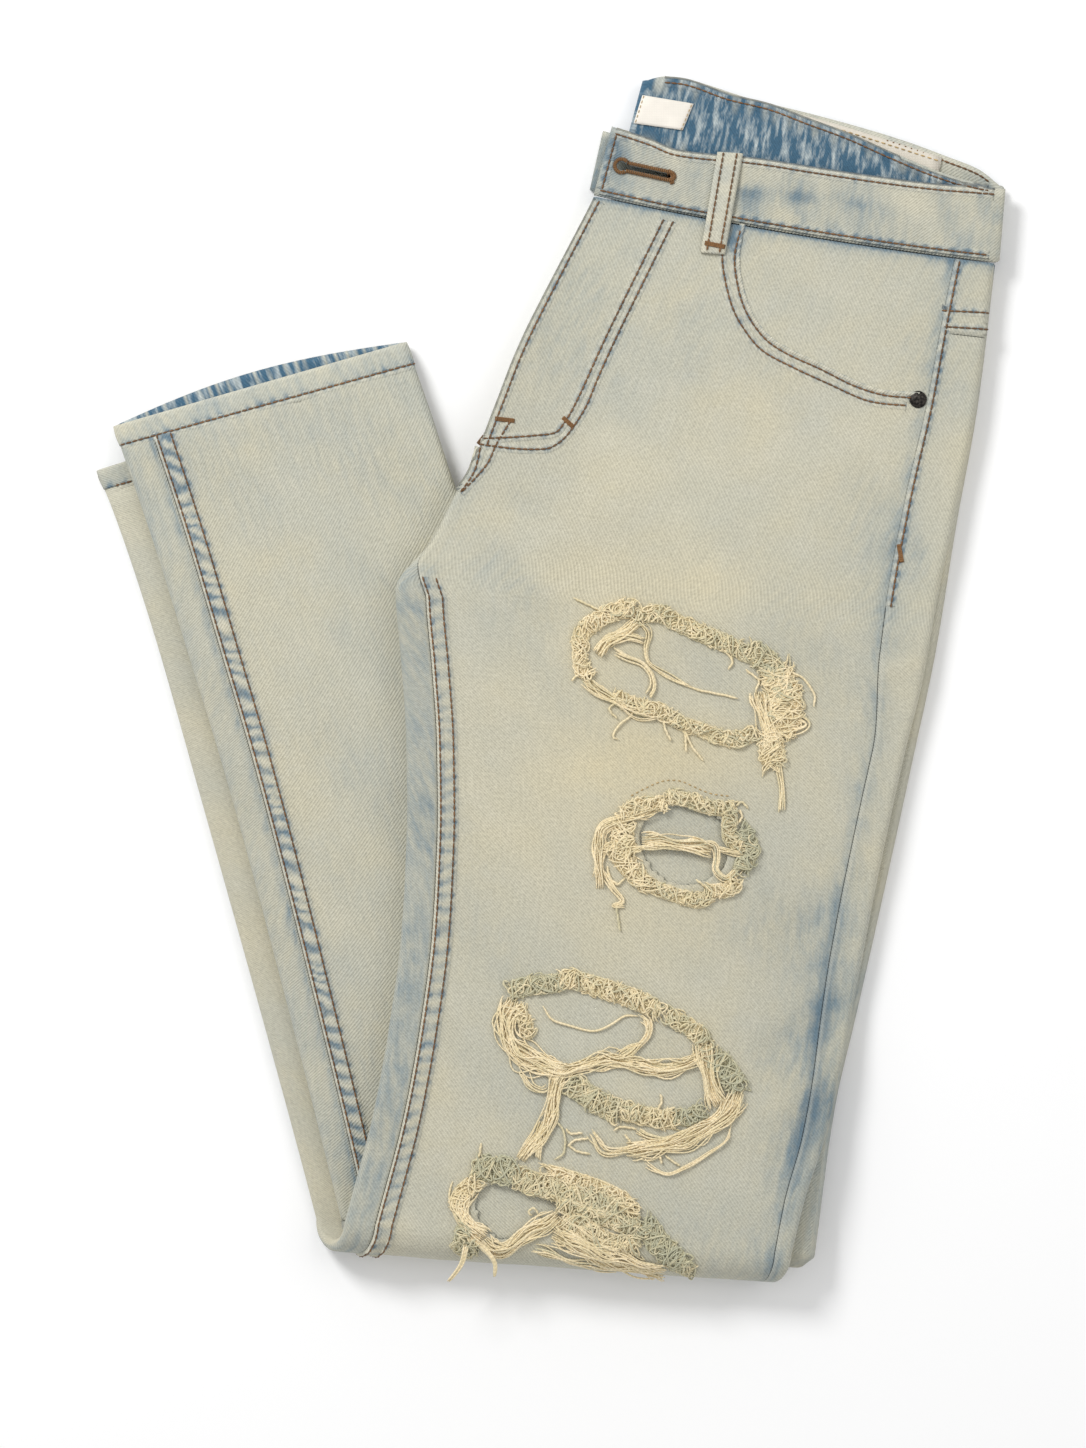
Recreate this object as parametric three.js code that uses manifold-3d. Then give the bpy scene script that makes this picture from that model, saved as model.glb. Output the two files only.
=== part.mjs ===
// Men's ripped five-pocket jeans, folded in half lengthwise (left half on top) and folded under at
// the knee, lying flat. Millimetres. +X to the right, +Y towards the waist's end, +Z up from the
// surface that the garment lies on. The origin is under the middle of the bounding box.
import * as THREE from 'three';
import Module from 'manifold-3d';
import { mergeVertices } from 'three/addons/utils/BufferGeometryUtils.js';

// ---------------------------------------------------------------- driving dimensions
const CLOTH = 1.6; // wall of one denim layer with its seam allowances pressed in
const GAP = 0.3; // clearance between neighbouring pieces
const LEG = 7.0; // thickness of a leg lying flat: two walls and the air between them
const FOLD_AXIS_Z = 16; // height of the knee fold's axis
const INNER_FOLD = 0.7; // radius inside the right leg's fold
const OUTER_FOLD = 9; // radius inside the left leg's fold, which wraps round the right one
const THIGH_DROP = FOLD_AXIS_Z + INNER_FOLD; // how far the thighs come down where no calf lies under them
const DROP_WIDTH = 90; // width of that slope
const CALF_DROP = FOLD_AXIS_Z - INNER_FOLD - LEG; // how far the right calf comes down past the left hem
const CALF_DROP_WIDTH = 34;
const HEM_DEPTH = 11;
const HEM_WALL = 2.2;
const YOKE_END = 0.075; // share of the thigh's length that the yoke takes
const INSEAM_INSET = 16; // from the leg's left edge to the inseam, on the thigh
const CALF_INSEAM_INSET = 20; // the same on the calf
const PATCH_WALL = 1.2; // backing patches and facing
const SEAM_ON_ROLL = 1.5; // from a rolled edge's middle to a seam that runs on it
const WAIST_BOW = 2.6; // how far the waistband seam bows down between its ends
const FRAY_HEIGHT = 2.6; // pile of loose yarn round a rip
const PATCH_FOOT_LIMIT = -290; // the lowest patch ends where the knee fold turns down

// Edges of the folded legs seen from above, as [x, y], from the waist's end down.
const THIGH_LEFT = [
  [22, 251.5], [17.5, 242], [-13.5, 181.5], [-28, 145], [-37.5, 120], [-49, 98], [-63, 71],
  [-81, 46], [-78, 8], [-75.5, -30], [-75, -68], [-76, -100], [-78, -132], [-84.5, -181.5],
  [-92.5, -225], [-107.4, -282],
];
const THIGH_RIGHT = [
  [231, 216.5], [229, 202], [221.5, 143], [211, 89.5], [201, 40], [194.5, 3], [183.5, -42],
  [169.5, -107], [156, -177], [142, -239], [131.5, -270], [124.5, -298.5],
];
const UNDER_THIGH_RIGHT = [
  [232, 216.5], [223, 143], [211.5, 79], [201, 14.5], [189, -42], [174.5, -108.5], [159, -177],
  [148, -223], [137, -299.5],
];
const UPPER_CALF_LEFT = [
  [-228.5, 132], [-209.5, 77], [-189, 11.5], [-172.5, -42], [-131, -196.5], [-109.5, -282],
];
const UPPER_CALF_RIGHT = [
  [-76, 176], [-64, 142.5], [-49, 98], [-21.5, 41], [12, -21], [51, -104.5], [87.5, -193],
  [124, -298.5],
];
const LOWER_CALF_LEFT = [
  [-237.5, 109], [-227, 82], [-208, 24.5], [-189, -42], [-131, -251.5], [-123, -282],
];
const LOWER_CALF_RIGHT = [
  [-85, 153], [-60, 98], [-32, 41], [1, -21], [40, -104.5], [77, -193], [113, -298.5],
];
const OUTSEAM_INSET = [ // from the thigh's right edge to the outseam, as [share of length, inset]
  [0, 21], [0.12, 25], [0.25, 27], [0.4, 25], [0.5, 17], [0.7, 17], [0.85, 13], [1, 9],
];

// The rips, each as the outline of its opening, centre and reach of the frayed yarn round it.
const RIPS = [
  {
    name: '1',
    opening: [[22, 12], [50, 22], [85, 20], [106, 2], [100, -22], [70, -22], [44, -20], [28, -8]],
    reach: [[10, 26], [45, 38], [92, 36], [118, 16], [130, -12], [122, -36], [76, -34], [40, -34],
      [20, -16]],
  },
  {
    name: '2',
    opening: [[54, -68], [80, -66], [91, -80], [90, -96], [76, -106], [58, -104], [52, -88]],
    reach: [[30, -66], [52, -55], [84, -55], [104, -72], [107, -96], [92, -116], [62, -121],
      [38, -112], [26, -88]],
  },
  {
    name: '3',
    opening: [[8, -166], [36, -162], [66, -166], [78, -182], [84, -204], [60, -218], [30, -216],
      [6, -200]],
    reach: [[-20, -168], [14, -152], [66, -150], [96, -170], [105, -206], [90, -238], [44, -250],
      [0, -240], [-24, -206]],
  },
  {
    name: '4',
    opening: [[-34, -266], [-10, -263], [6, -272], [4, -284], [-16, -287], [-34, -280]],
    reach: [[-50, -262], [-14, -250], [30, -256], [70, -268], [76, -284], [58, -294],
      [14, -292], [-30, -288], [-54, -279]],
  },
];

// The pocket mouth: its curve from the waistband to the outseam, and the corner it cuts off.
const POCKET_CURVE = [
  [100.5, 234], [98, 221], [99, 208], [103.5, 193], [112, 180], [124, 172], [141, 164],
  [158, 155.5], [173, 150.5], [190, 149],
];
const RIVET_AT = [191, 145.6];
const RIVET_RADIUS = 4.5;

// The waistband's four lengths, from the top one down: upper and lower edges from the left end to
// the right one, and the levels of the underside and the upper side. The first and last lengths
// start on the waist seam, the two between lie higher up and show behind them.
const BAND = [
  {
    top: [[31.5, 288], [52, 281], [65, 275.5], [86, 273], [100, 272], [148, 265], [196, 258.5],
      [234, 255.5]],
    low: 12.2,
    high: 15.4,
  },
  {
    top: [[48, 312.5], [56, 314], [66, 313.5], [94, 304.5], [148, 287], [196, 271], [212, 262.5],
      [233, 256]],
    bottom: [[53, 276], [94, 264], [148, 248], [196, 234], [230, 222]],
    low: 8.6,
    high: 11.6,
  },
  {
    top: [[49, 312], [58, 315], [107, 302.5], [143, 293.5], [184, 281.5], [207, 273], [224, 266],
      [234, 258]],
    bottom: [[53, 276], [94, 264], [148, 248], [196, 234], [230, 222]],
    low: 3.8,
    high: 6.8,
  },
  {
    top: [[27, 287], [52, 279], [65, 273.5], [86, 271], [100, 270], [148, 263], [196, 256.5],
      [233, 254]],
    bottom: [[20, 256], [44, 249], [77, 244], [100, 240], [164, 229], [212, 222], [230, 219.5]],
    low: 0,
    high: 3,
  },
];
const BAND_END_REACH = 3.2; // how far the band's end folds stand out sideways
const BAND_FOLD_INNER = 0.12; // radius inside an end fold, as a share of its reach
const BUTTONHOLE = { eye: [36.5, 267.3], tail: [62, 261.8], eyeRadius: 2.6, slotHalfWidth: 1.2 };
const BELT_LOOP = { left: [[86.4, 274.5], [77.6, 222]], right: [[99.8, 273.6], [90.4, 221]], wall: 1.6,
  arch: 1.4 };
const LABEL = { left: [[48, 304.5], [50, 288.5]], right: [[73.5, 302], [72, 288]], wall: 1 };
const WAIST_PATCH = { top: [[106, 301], [150, 289.5], [204, 272.5]], bottom: [[104, 279], [148, 266], [199, 250]],
  wall: 1 };

// ---------------------------------------------------------------- small mathematics
const lerp = (a, b, t) => a + (b - a) * t;
const clamp01 = (t) => Math.min(1, Math.max(0, t));
const smooth = (t) => clamp01(t) ** 2 * (3 - 2 * clamp01(t));
const range = (count, from, to) => Array.from({ length: count + 1 }, (_, i) => lerp(from, to, i / count));

// Smooth curve value(key) through [value, key] or [key, value] pairs, with no overshoot.
function interpolator(keys, values) {
  const n = keys.length;
  const step = [];
  const slope = [];
  for (let i = 0; i < n - 1; i += 1) {
    step.push(keys[i + 1] - keys[i]);
    slope.push((values[i + 1] - values[i]) / step[i]);
  }
  const tangent = [slope[0]];
  for (let i = 1; i < n - 1; i += 1) {
    const flat = slope[i - 1] * slope[i] <= 0;
    const w1 = 2 * step[i] + step[i - 1];
    const w2 = step[i] + 2 * step[i - 1];
    tangent.push(flat ? 0 : (w1 + w2) / (w1 / slope[i - 1] + w2 / slope[i]));
  }
  tangent.push(slope[n - 2]);
  return (key) => {
    let i = 0;
    while (i < n - 2 && key > keys[i + 1]) i += 1;
    const t = clamp01((key - keys[i]) / step[i]);
    const h = step[i];
    return (1 + 2 * t) * (1 - t) ** 2 * values[i] + t * (1 - t) ** 2 * h * tangent[i]
      + t * t * (3 - 2 * t) * values[i + 1] + t * t * (t - 1) * h * tangent[i + 1];
  };
}

// An edge given from the waist's end down, as x for a height y.
function edge(points) {
  const upward = points[0][1] > points[1][1] ? [...points].reverse() : points;
  const x = interpolator(upward.map((p) => p[1]), upward.map((p) => p[0]));
  return { x, first: points[0][1], last: points[points.length - 1][1] };
}

const thighLeft = edge(THIGH_LEFT);
const thighRight = edge(THIGH_RIGHT);
const underThighRight = edge(UNDER_THIGH_RIGHT);
const upperCalf = { left: edge([...UPPER_CALF_LEFT].reverse()), right: edge([...UPPER_CALF_RIGHT].reverse()) };
const lowerCalf = { left: edge([...LOWER_CALF_LEFT].reverse()), right: edge([...LOWER_CALF_RIGHT].reverse()) };
const outseamInset = interpolator(OUTSEAM_INSET.map((p) => p[0]), OUTSEAM_INSET.map((p) => p[1]));

// ---------------------------------------------------------------- form of the folded legs
// How far the thighs have come down at a place seen from above: nothing over the calves.
function thighDrop(x, y) {
  const beyond = x - upperCalf.right.x(Math.min(y, UPPER_CALF_RIGHT[0][1]));
  return THIGH_DROP * smooth(beyond / DROP_WIDTH);
}

// How far the right calf has come down past the left leg's hem.
function calfDrop(x, y) {
  const [hemLeft, hemRight] = [LOWER_CALF_LEFT[0], LOWER_CALF_RIGHT[0]];
  const along = new THREE.Vector2(hemRight[0] - hemLeft[0], hemRight[1] - hemLeft[1]).normalize();
  const beyond = -(x - hemLeft[0]) * along.y + (y - hemLeft[1]) * along.x;
  return CALF_DROP * smooth((beyond - 1) / CALF_DROP_WIDTH);
}

// The left leg goes round the outside of the fold with its front panel outermost. The right leg
// lies inside it, its front panel innermost.
const LEFT_LEG = {
  fold: OUTER_FOLD,
  frontOutermost: true,
  thigh: [thighLeft, thighRight],
  calf: [lowerCalf.left, lowerCalf.right],
  calfDrop: () => 0,
};
const RIGHT_LEG = {
  fold: INNER_FOLD,
  frontOutermost: false,
  thigh: [thighLeft, underThighRight],
  calf: [upperCalf.left, upperCalf.right],
  calfDrop,
};

// Left and right edge points of a leg's length at a share of the way down it.
function edgePoints([left, right], share) {
  const [yl, yr] = [lerp(left.first, left.last, share), lerp(right.first, right.last, share)];
  return [[left.x(yl), yl], [right.x(yr), yr]];
}

// A place across a station, measured in millimetres in from its left edge.
function across([l, r], inset) {
  const width = Math.hypot(r[0] - l[0], r[1] - l[1]);
  return [lerp(l[0], r[0], inset / width), lerp(l[1], r[1], inset / width)];
}

// A station is {part: 'thigh' | 'fold' | 'calf', t}. Its width and the place of a point of its
// section: inset from the left edge and height n above the leg's inner side.
function stationEdges(leg, station) {
  if (station.part === 'thigh') return edgePoints(leg.thigh, station.t);
  if (station.part === 'calf') return edgePoints(leg.calf, station.t);
  const thighEnd = edgePoints(leg.thigh, 1);
  const calfStart = edgePoints(leg.calf, 0);
  const weight = (1 - Math.cos(station.t * Math.PI)) / 2;
  return thighEnd.map((p, i) => [lerp(p[0], calfStart[i][0], weight), lerp(p[1], calfStart[i][1], weight)]);
}

const stationWidth = (leg, station) => {
  const [l, r] = stationEdges(leg, station);
  return Math.hypot(r[0] - l[0], r[1] - l[1]);
};

// The waist seam bows down between its ends, and the stations below it follow less and less.
const WAIST_BOW_END = 0.3;
const waistBow = (acrossShare, t) => WAIST_BOW * 4 * acrossShare * (1 - acrossShare)
  * smooth(1 - t / WAIST_BOW_END);

function place(leg, station, inset, n) {
  const edges = stationEdges(leg, station);
  const [x, y] = across(edges, inset);
  const radius = leg.fold + n;
  if (station.part === 'thigh') {
    const bowed = y - waistBow(inset / stationWidth(leg, station), station.t);
    return [x, bowed, FOLD_AXIS_Z + radius - thighDrop(x, bowed)];
  }
  if (station.part === 'calf') return [x, y, FOLD_AXIS_Z - radius - leg.calfDrop(x, y)];
  const angle = station.t * Math.PI;
  const [l, r] = edges;
  const width = Math.hypot(r[0] - l[0], r[1] - l[1]);
  const outward = [(r[1] - l[1]) / width, -(r[0] - l[0]) / width];
  const reach = radius * Math.sin(angle);
  const drop = thighDrop(x, y) * (1 + Math.cos(angle)) / 2;
  return [x + outward[0] * reach, y + outward[1] * reach, FOLD_AXIS_Z + radius * Math.cos(angle) - drop];
}

// ---------------------------------------------------------------- section of a leg lying flat
const EDGE_ARC = Math.PI * LEG / 4; // a quarter turn of the rolled edge, measured along the cloth

// The section is a flat ring. Positions along it are measured from the middle of the left rolled
// edge, over the outer side and back along the inner side. Gives inset, n and the outward normal.
function ringPoint(width, position) {
  const half = width - LEG + 2 * EDGE_ARC;
  const p = ((position % (2 * half)) + 2 * half) % (2 * half);
  const mirrored = p > half;
  const q = mirrored ? 2 * half - p : p;
  const arcAngle = (s) => (s / EDGE_ARC) * (Math.PI / 2);
  let point;
  if (q < EDGE_ARC) {
    const a = arcAngle(q);
    point = { inset: (LEG / 2) * (1 - Math.cos(a)), up: (LEG / 2) * Math.sin(a), nx: -Math.cos(a), nz: Math.sin(a) };
  } else if (q <= half - EDGE_ARC) {
    point = { inset: LEG / 2 + q - EDGE_ARC, up: LEG / 2, nx: 0, nz: 1 };
  } else {
    const a = arcAngle(half - q);
    point = { inset: width - (LEG / 2) * (1 - Math.cos(a)), up: (LEG / 2) * Math.sin(a), nx: Math.cos(a), nz: Math.sin(a) };
  }
  const side = mirrored ? -1 : 1;
  return { inset: point.inset, n: LEG / 2 + side * point.up, nx: point.nx, nn: side * point.nz };
}

// A point of the ring, moved in from its outer side by some depth.
function ringPlace(leg, station, position, depth) {
  const point = ringPoint(stationWidth(leg, station), position);
  const n = point.n - point.nn * depth;
  return place(leg, station, point.inset - point.nx * depth, leg.frontOutermost ? n : LEG - n);
}

// Positions of the seams on the ring. Above the crotch the inseam runs out on the rolled edge.
const CROTCH = 0.345;
const CORNER = 0.39;
function inseamPosition(station) {
  if (station.part === 'thigh') {
    return lerp(SEAM_ON_ROLL, INSEAM_INSET + 2, smooth((station.t - CROTCH) / (CORNER - CROTCH)));
  }
  return station.part === 'fold' ? INSEAM_INSET + 2 : lerp(INSEAM_INSET, CALF_INSEAM_INSET, station.t) + 2;
}
function outseamPosition(station) {
  if (station.part === 'thigh') return outseamInset(station.t) + 2;
  return station.part === 'fold' ? 11 : lerp(11, SEAM_ON_ROLL, smooth(station.t * 3));
}

const ARC_STEPS = [1 / 3, 2 / 3, 1];
const FLAT_STEPS = 8;

// The front panel runs over the outer side, from the inseam to the outseam.
function frontPositions(width, station) {
  const half = width - LEG + 2 * EDGE_ARC;
  const from = inseamPosition(station) + GAP / 2;
  const to = half - outseamPosition(station) - GAP / 2;
  const leftArc = ARC_STEPS.map((s, i) => Math.max(s * EDGE_ARC, from + 0.5 * (i + 1)));
  const rightArc = [...ARC_STEPS].reverse().map((s, i) => Math.min(half - s * EDGE_ARC, to - 0.5 * (3 - i)));
  const flat = range(FLAT_STEPS, leftArc[2], rightArc[0]).slice(1, -1);
  return [from, ...leftArc, ...flat, ...rightArc, to];
}

// The back panel runs from the outseam round the right rolled edge, along the inner side and
// round the left rolled edge to the inseam.
function backPositions(width, station) {
  const half = width - LEG + 2 * EDGE_ARC;
  const from = half - outseamPosition(station) + GAP / 2;
  const to = 2 * half + inseamPosition(station) - GAP / 2;
  const rightArc = [...ARC_STEPS].reverse().map((s, i) => Math.max(half - s * EDGE_ARC, from + 0.3 * (i + 1)));
  const underRight = ARC_STEPS.map((s) => half + s * EDGE_ARC);
  const underLeft = [...ARC_STEPS].reverse().map((s) => 2 * half - s * EDGE_ARC);
  const leftArc = ARC_STEPS.map((s, i) => Math.min(2 * half + s * EDGE_ARC, to - 0.3 * (3 - i)));
  const flat = range(FLAT_STEPS, underRight[2], underLeft[0]).slice(1, -1);
  return [from, ...rightArc, half, ...underRight, ...flat, ...underLeft, 2 * half, ...leftArc, to];
}

// ---------------------------------------------------------------- solids from grids of points
function geometryOf(points, triangles) {
  const geometry = new THREE.BufferGeometry();
  geometry.setAttribute('position', new THREE.Float32BufferAttribute(points.flat(), 3));
  geometry.setIndex(triangles.flat());
  let volume = 0;
  const corner = (i) => new THREE.Vector3(...points[i]);
  for (const [a, b, c] of triangles) volume += corner(a).dot(corner(b).cross(corner(c)));
  if (volume < 0) geometry.setIndex(triangles.map(([a, b, c]) => [a, c, b]).flat());
  return geometry;
}

// Cuts a grid's cell along the diagonal from its upper left to its lower right corner, so that
// layers lying on each other have the same facets.
function split(points, [a, b, c, d]) {
  return points[a][0] <= points[b][0] ? [[a, b, c], [a, c, d]] : [[a, b, d], [b, c, d]];
}

// A closed wall between an outer and an inner grid of points. With ring set, the grid's rows
// close on themselves, as in a hem.
function wall(outer, inner, ring = false) {
  const rows = outer.length;
  const columns = outer[0].length;
  const points = [...outer.flat(), ...inner.flat()];
  const top = (i, j) => i * columns + (j % columns);
  const under = (i, j) => rows * columns + top(i, j);
  const triangles = [];
  const quad = (a, b, c, d) => triangles.push([a, b, c], [a, c, d]);
  for (let i = 0; i < rows - 1; i += 1) {
    for (let j = 0; j < columns - (ring ? 0 : 1); j += 1) {
      const corners = (at) => [at(i, j), at(i, j + 1), at(i + 1, j + 1), at(i + 1, j)];
      triangles.push(...split(points, corners(top)));
      triangles.push(...split(points, corners(under)).map(([a, b, c]) => [a, c, b]));
    }
    if (!ring) {
      quad(top(i, 0), top(i + 1, 0), under(i + 1, 0), under(i, 0));
      quad(top(i, columns - 1), under(i, columns - 1), under(i + 1, columns - 1), top(i + 1, columns - 1));
    }
  }
  for (let j = 0; j < columns - (ring ? 0 : 1); j += 1) {
    quad(top(0, j), under(0, j), under(0, j + 1), top(0, j + 1));
    quad(top(rows - 1, j), top(rows - 1, j + 1), under(rows - 1, j + 1), under(rows - 1, j));
  }
  return geometryOf(points, triangles);
}

// A solid through closed sections, its two ends filled by fans from their middles.
function loft(sections) {
  const count = sections[0].length;
  const middle = (section) => [0, 1, 2].map((k) => section.reduce((sum, p) => sum + p[k], 0) / count);
  const points = [...sections.flat(), middle(sections[0]), middle(sections[sections.length - 1])];
  const triangles = [];
  const at = (i, j) => i * count + (j % count);
  const first = sections.length * count;
  for (let j = 0; j < count; j += 1) {
    for (let i = 0; i < sections.length - 1; i += 1) {
      triangles.push(...split(points, [at(i, j), at(i, j + 1), at(i + 1, j + 1), at(i + 1, j)]));
    }
    triangles.push([first, at(0, j + 1), at(0, j)]);
    triangles.push([first + 1, at(sections.length - 1, j), at(sections.length - 1, j + 1)]);
  }
  return geometryOf(points, triangles);
}

// ---------------------------------------------------------------- booleans
const wasm = await Module();
wasm.setup();

function toManifold(geometry) {
  const bare = new THREE.BufferGeometry();
  bare.setAttribute('position', geometry.getAttribute('position'));
  if (geometry.index) bare.setIndex(geometry.index);
  const merged = mergeVertices(bare, 1e-5);
  const vertProperties = new Float32Array(merged.getAttribute('position').array);
  const triVerts = new Uint32Array(merged.index.array);
  return new wasm.Manifold(new wasm.Mesh({ numProp: 3, vertProperties, triVerts }));
}

function fromManifold(solid) {
  const mesh = solid.getMesh();
  const geometry = new THREE.BufferGeometry();
  geometry.setAttribute('position', new THREE.Float32BufferAttribute(mesh.vertProperties, 3));
  geometry.setIndex(Array.from(mesh.triVerts));
  return geometry;
}

// An upright cutter of a closed outline, between two heights.
function cutter(outline, low, high) {
  const shape = new THREE.Shape(outline.map(([x, y]) => new THREE.Vector2(x, y)));
  const geometry = new THREE.ExtrudeGeometry(shape, { depth: high - low, bevelEnabled: false });
  geometry.translate(0, 0, low);
  return toManifold(geometry);
}

// A closed smooth outline through a few points.
function roundOutline(points, count) {
  const corners = points.map(([x, y]) => new THREE.Vector3(x, y, 0));
  const curve = new THREE.CatmullRomCurve3(corners, true, 'centripetal');
  return range(count, 0, 1).slice(0, -1).map((t) => curve.getPoint(t)).map((p) => [p.x, p.y]);
}

// ---------------------------------------------------------------- stations along a leg
const THIGH_STEPS = [0, YOKE_END, 0.16, 0.25, CROTCH, CORNER, 0.46, 0.54, 0.62, 0.7, 0.78, 0.86, 0.93, 1];
const thighStations = (from, to) => THIGH_STEPS.filter((t) => t >= from && t <= to)
  .map((t) => ({ part: 'thigh', t }));
const BEFORE_LOWER_HEM = 0.935; // share of the upper calf's length that lies on the lower calf
const foldStations = range(6, 0, 1).slice(1, -1).map((t) => ({ part: 'fold', t }));
const calfStations = (to) => [...range(5, 0, BEFORE_LOWER_HEM), 0.957, to].map((t) => ({ part: 'calf', t }));

// Share of the calf's length at which the panels give way to the hem.
const calfLength = (leg) => {
  const [start, end] = [edgePoints(leg.calf, 0), edgePoints(leg.calf, 1)];
  return Math.hypot(end[0][0] - start[0][0], end[0][1] - start[0][1]);
};
const hemStart = (leg) => 1 - HEM_DEPTH / calfLength(leg);

// Moves a station along a leg by a distance, to leave a seam's gap.
const later = (station, share) => ({ part: station.part, t: station.t + share });
const SEAM_SHARE = GAP / 500;

function panel(leg, stations, positions) {
  const grid = (depth) => stations.map((station) => positions(stationWidth(leg, station), station)
    .map((position) => ringPlace(leg, station, position, depth)));
  return wall(grid(0), grid(CLOTH));
}

// ---------------------------------------------------------------- the upper surface
// Height of the left thigh's outer side at a place seen from above, and of the right calf's.
function thighSurface(x, y) {
  const [l, r] = edgePoints(LEFT_LEG.thigh, 1);
  const along = new THREE.Vector2(r[0] - l[0], r[1] - l[1]).normalize();
  const beyond = (x - l[0]) * along.y - (y - l[1]) * along.x;
  const outer = OUTER_FOLD + LEG;
  const level = beyond > 0 ? Math.sqrt(Math.max(0, outer ** 2 - beyond ** 2)) : outer;
  return FOLD_AXIS_Z + level - thighDrop(x, y);
}

// A plate between two lines of points, lying at two heights given for each place.
function plate(lineA, lineB, steps, low, high) {
  const rows = lineA.map((a, i) => range(steps, 0, 1)
    .map((t) => [lerp(a[0], lineB[i][0], t), lerp(a[1], lineB[i][1], t)]));
  const lift = (height) => rows.map((row) => row.map(([x, y]) => [x, y, height(x, y)]));
  return wall(lift(high), lift(low));
}

// ---------------------------------------------------------------- sub-parts
const INDIGO_PALE = 0xc9c5b0;
const INDIGO_INSIDE = 0x6c8290;
const finish = (color, roughness = 0.9, metalness = 0) => new THREE.MeshStandardMaterial({ color, roughness,
  metalness });
const denim = () => finish(INDIGO_PALE);

const jeans = new THREE.Group();
function add(name, geometry, material) {
  const mesh = new THREE.Mesh(geometry, material);
  mesh.name = name;
  jeans.add(mesh);
}

function leftFrontLeg() {
  const end = hemStart(LEFT_LEG) - SEAM_SHARE;
  const stations = [...thighStations(0, 1), ...foldStations, ...calfStations(end)];
  let solid = toManifold(panel(LEFT_LEG, stations, frontPositions));
  for (const rip of RIPS) solid = solid.subtract(cutter(roundOutline(rip.opening, 20), 8, 40));
  const corner = [[260, 149], [260, 260], [100.5, 260]];
  solid = solid.subtract(cutter([...POCKET_CURVE, ...corner], 8, 40));
  return fromManifold(solid);
}

function leftBackLeg() {
  const end = hemStart(LEFT_LEG) - SEAM_SHARE;
  const [first, ...rest] = thighStations(YOKE_END, 1);
  const stations = [later(first, SEAM_SHARE), ...rest, ...foldStations, ...calfStations(end)];
  return panel(LEFT_LEG, stations, backPositions);
}

const leftBackYoke = () => panel(LEFT_LEG, thighStations(0, YOKE_END), backPositions);

function rightLegPanel(positions) {
  const [first, ...rest] = calfStations(hemStart(RIGHT_LEG) - SEAM_SHARE);
  return panel(RIGHT_LEG, [later(first, SEAM_SHARE), ...rest], positions);
}

// A turned-up hem: a ring round the leg's end, thicker than one layer.
function hem(leg) {
  const stations = range(2, hemStart(leg), 1).map((t) => ({ part: 'calf', t }));
  const positions = (width) => {
    const half = width - LEG + 2 * EDGE_ARC;
    const side = [0, ...ARC_STEPS.map((s) => s * EDGE_ARC), ...range(6, EDGE_ARC, half - EDGE_ARC).slice(1),
      ...[...ARC_STEPS].reverse().slice(1).map((s) => half - s * EDGE_ARC)];
    return [...side, ...side.map((p) => p + half)];
  };
  const grid = (depth) => stations.map((station) => positions(stationWidth(leg, station))
    .map((position) => ringPlace(leg, station, position, depth)));
  return wall(grid(0), grid(HEM_WALL), true);
}

// The right thigh inside the fold, with a groove along each edge between its two layers.
const GROOVED_EDGE = [[3.5, 7], [0.8, 6.2], [0.2, 4.8], [4, 3.7], [4, 3.3], [0.2, 2.2], [0.8, 0.8], [3.5, 0]];
function hiddenLayers() {
  const stations = [...thighStations(0, 1), ...foldStations, { part: 'calf', t: 0 }];
  return loft(stations.map((station) => {
    const width = stationWidth(RIGHT_LEG, station);
    const shared = Math.min(stationWidth(LEFT_LEG, station), width - 1);
    const flat = range(FLAT_STEPS, LEG / 2, shared - LEG / 2).slice(1);
    const outline = [
      ...GROOVED_EDGE.map(([inset, n]) => [width - inset, n]),
      ...[...flat].reverse().map((inset) => [inset, 0]),
      ...[...GROOVED_EDGE].reverse(),
      ...flat.map((inset) => [inset, LEG]),
    ];
    return outline.map(([inset, n]) => place(RIGHT_LEG, station, inset, n));
  }));
}

// A point of a waistband length's edge, at a share of the way from its left end.
function bandEdge(points, t) {
  const y = interpolator(points.map((p) => p[0]), points.map((p) => p[1]));
  const x = lerp(points[0][0], points[points.length - 1][0], t);
  return [x, y(x)];
}

// The waist seam, from the centre front to the right end, and a length's lower and upper edge points.
function waistSeam(t) {
  const [x, y] = place(LEFT_LEG, { part: 'thigh', t: 0 }, t * stationWidth(LEFT_LEG, { part: 'thigh', t: 0 }), 0);
  return [x, y + 2 * GAP];
}
const bandEdges = (length, t) => [
  length.bottom ? bandEdge(length.bottom, t) : waistSeam(t),
  bandEdge(length.top, t),
];

// A section of the band: its garment-inside face, then its garment-outside face.
const bandSection = ([insideLow, insideHigh], insideZ, [outsideLow, outsideHigh], outsideZ) => [
  [...insideLow, insideZ], [...insideHigh, insideZ], [...outsideHigh, outsideZ], [...outsideLow, outsideZ],
];

// The fold between two lengths, at the right end or the left one. The garment's outside is on the
// outer side of a right-hand fold and on the inner side of a left-hand one.
function bandFold(upper, lower, atRight) {
  const end = atRight ? 1 : 0;
  return range(5, 0, Math.PI).slice(1, -1).map((angle) => {
    const weight = (1 - Math.cos(angle)) / 2;
    const [from, to] = [bandEdges(upper, end), bandEdges(lower, end)];
    const shifted = (reach) => from.map((p, i) => [
      lerp(p[0], to[i][0], weight) + Math.sin(angle) * reach * (atRight ? 1 : -1),
      lerp(p[1], to[i][1], weight),
    ]);
    const outer = [shifted(BAND_END_REACH), lerp(upper.high, lower.low, weight)];
    const inner = [shifted(BAND_END_REACH * BAND_FOLD_INNER), lerp(upper.low, lower.high, weight)];
    return atRight ? bandSection(...inner, ...outer) : bandSection(...outer, ...inner);
  });
}

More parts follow.
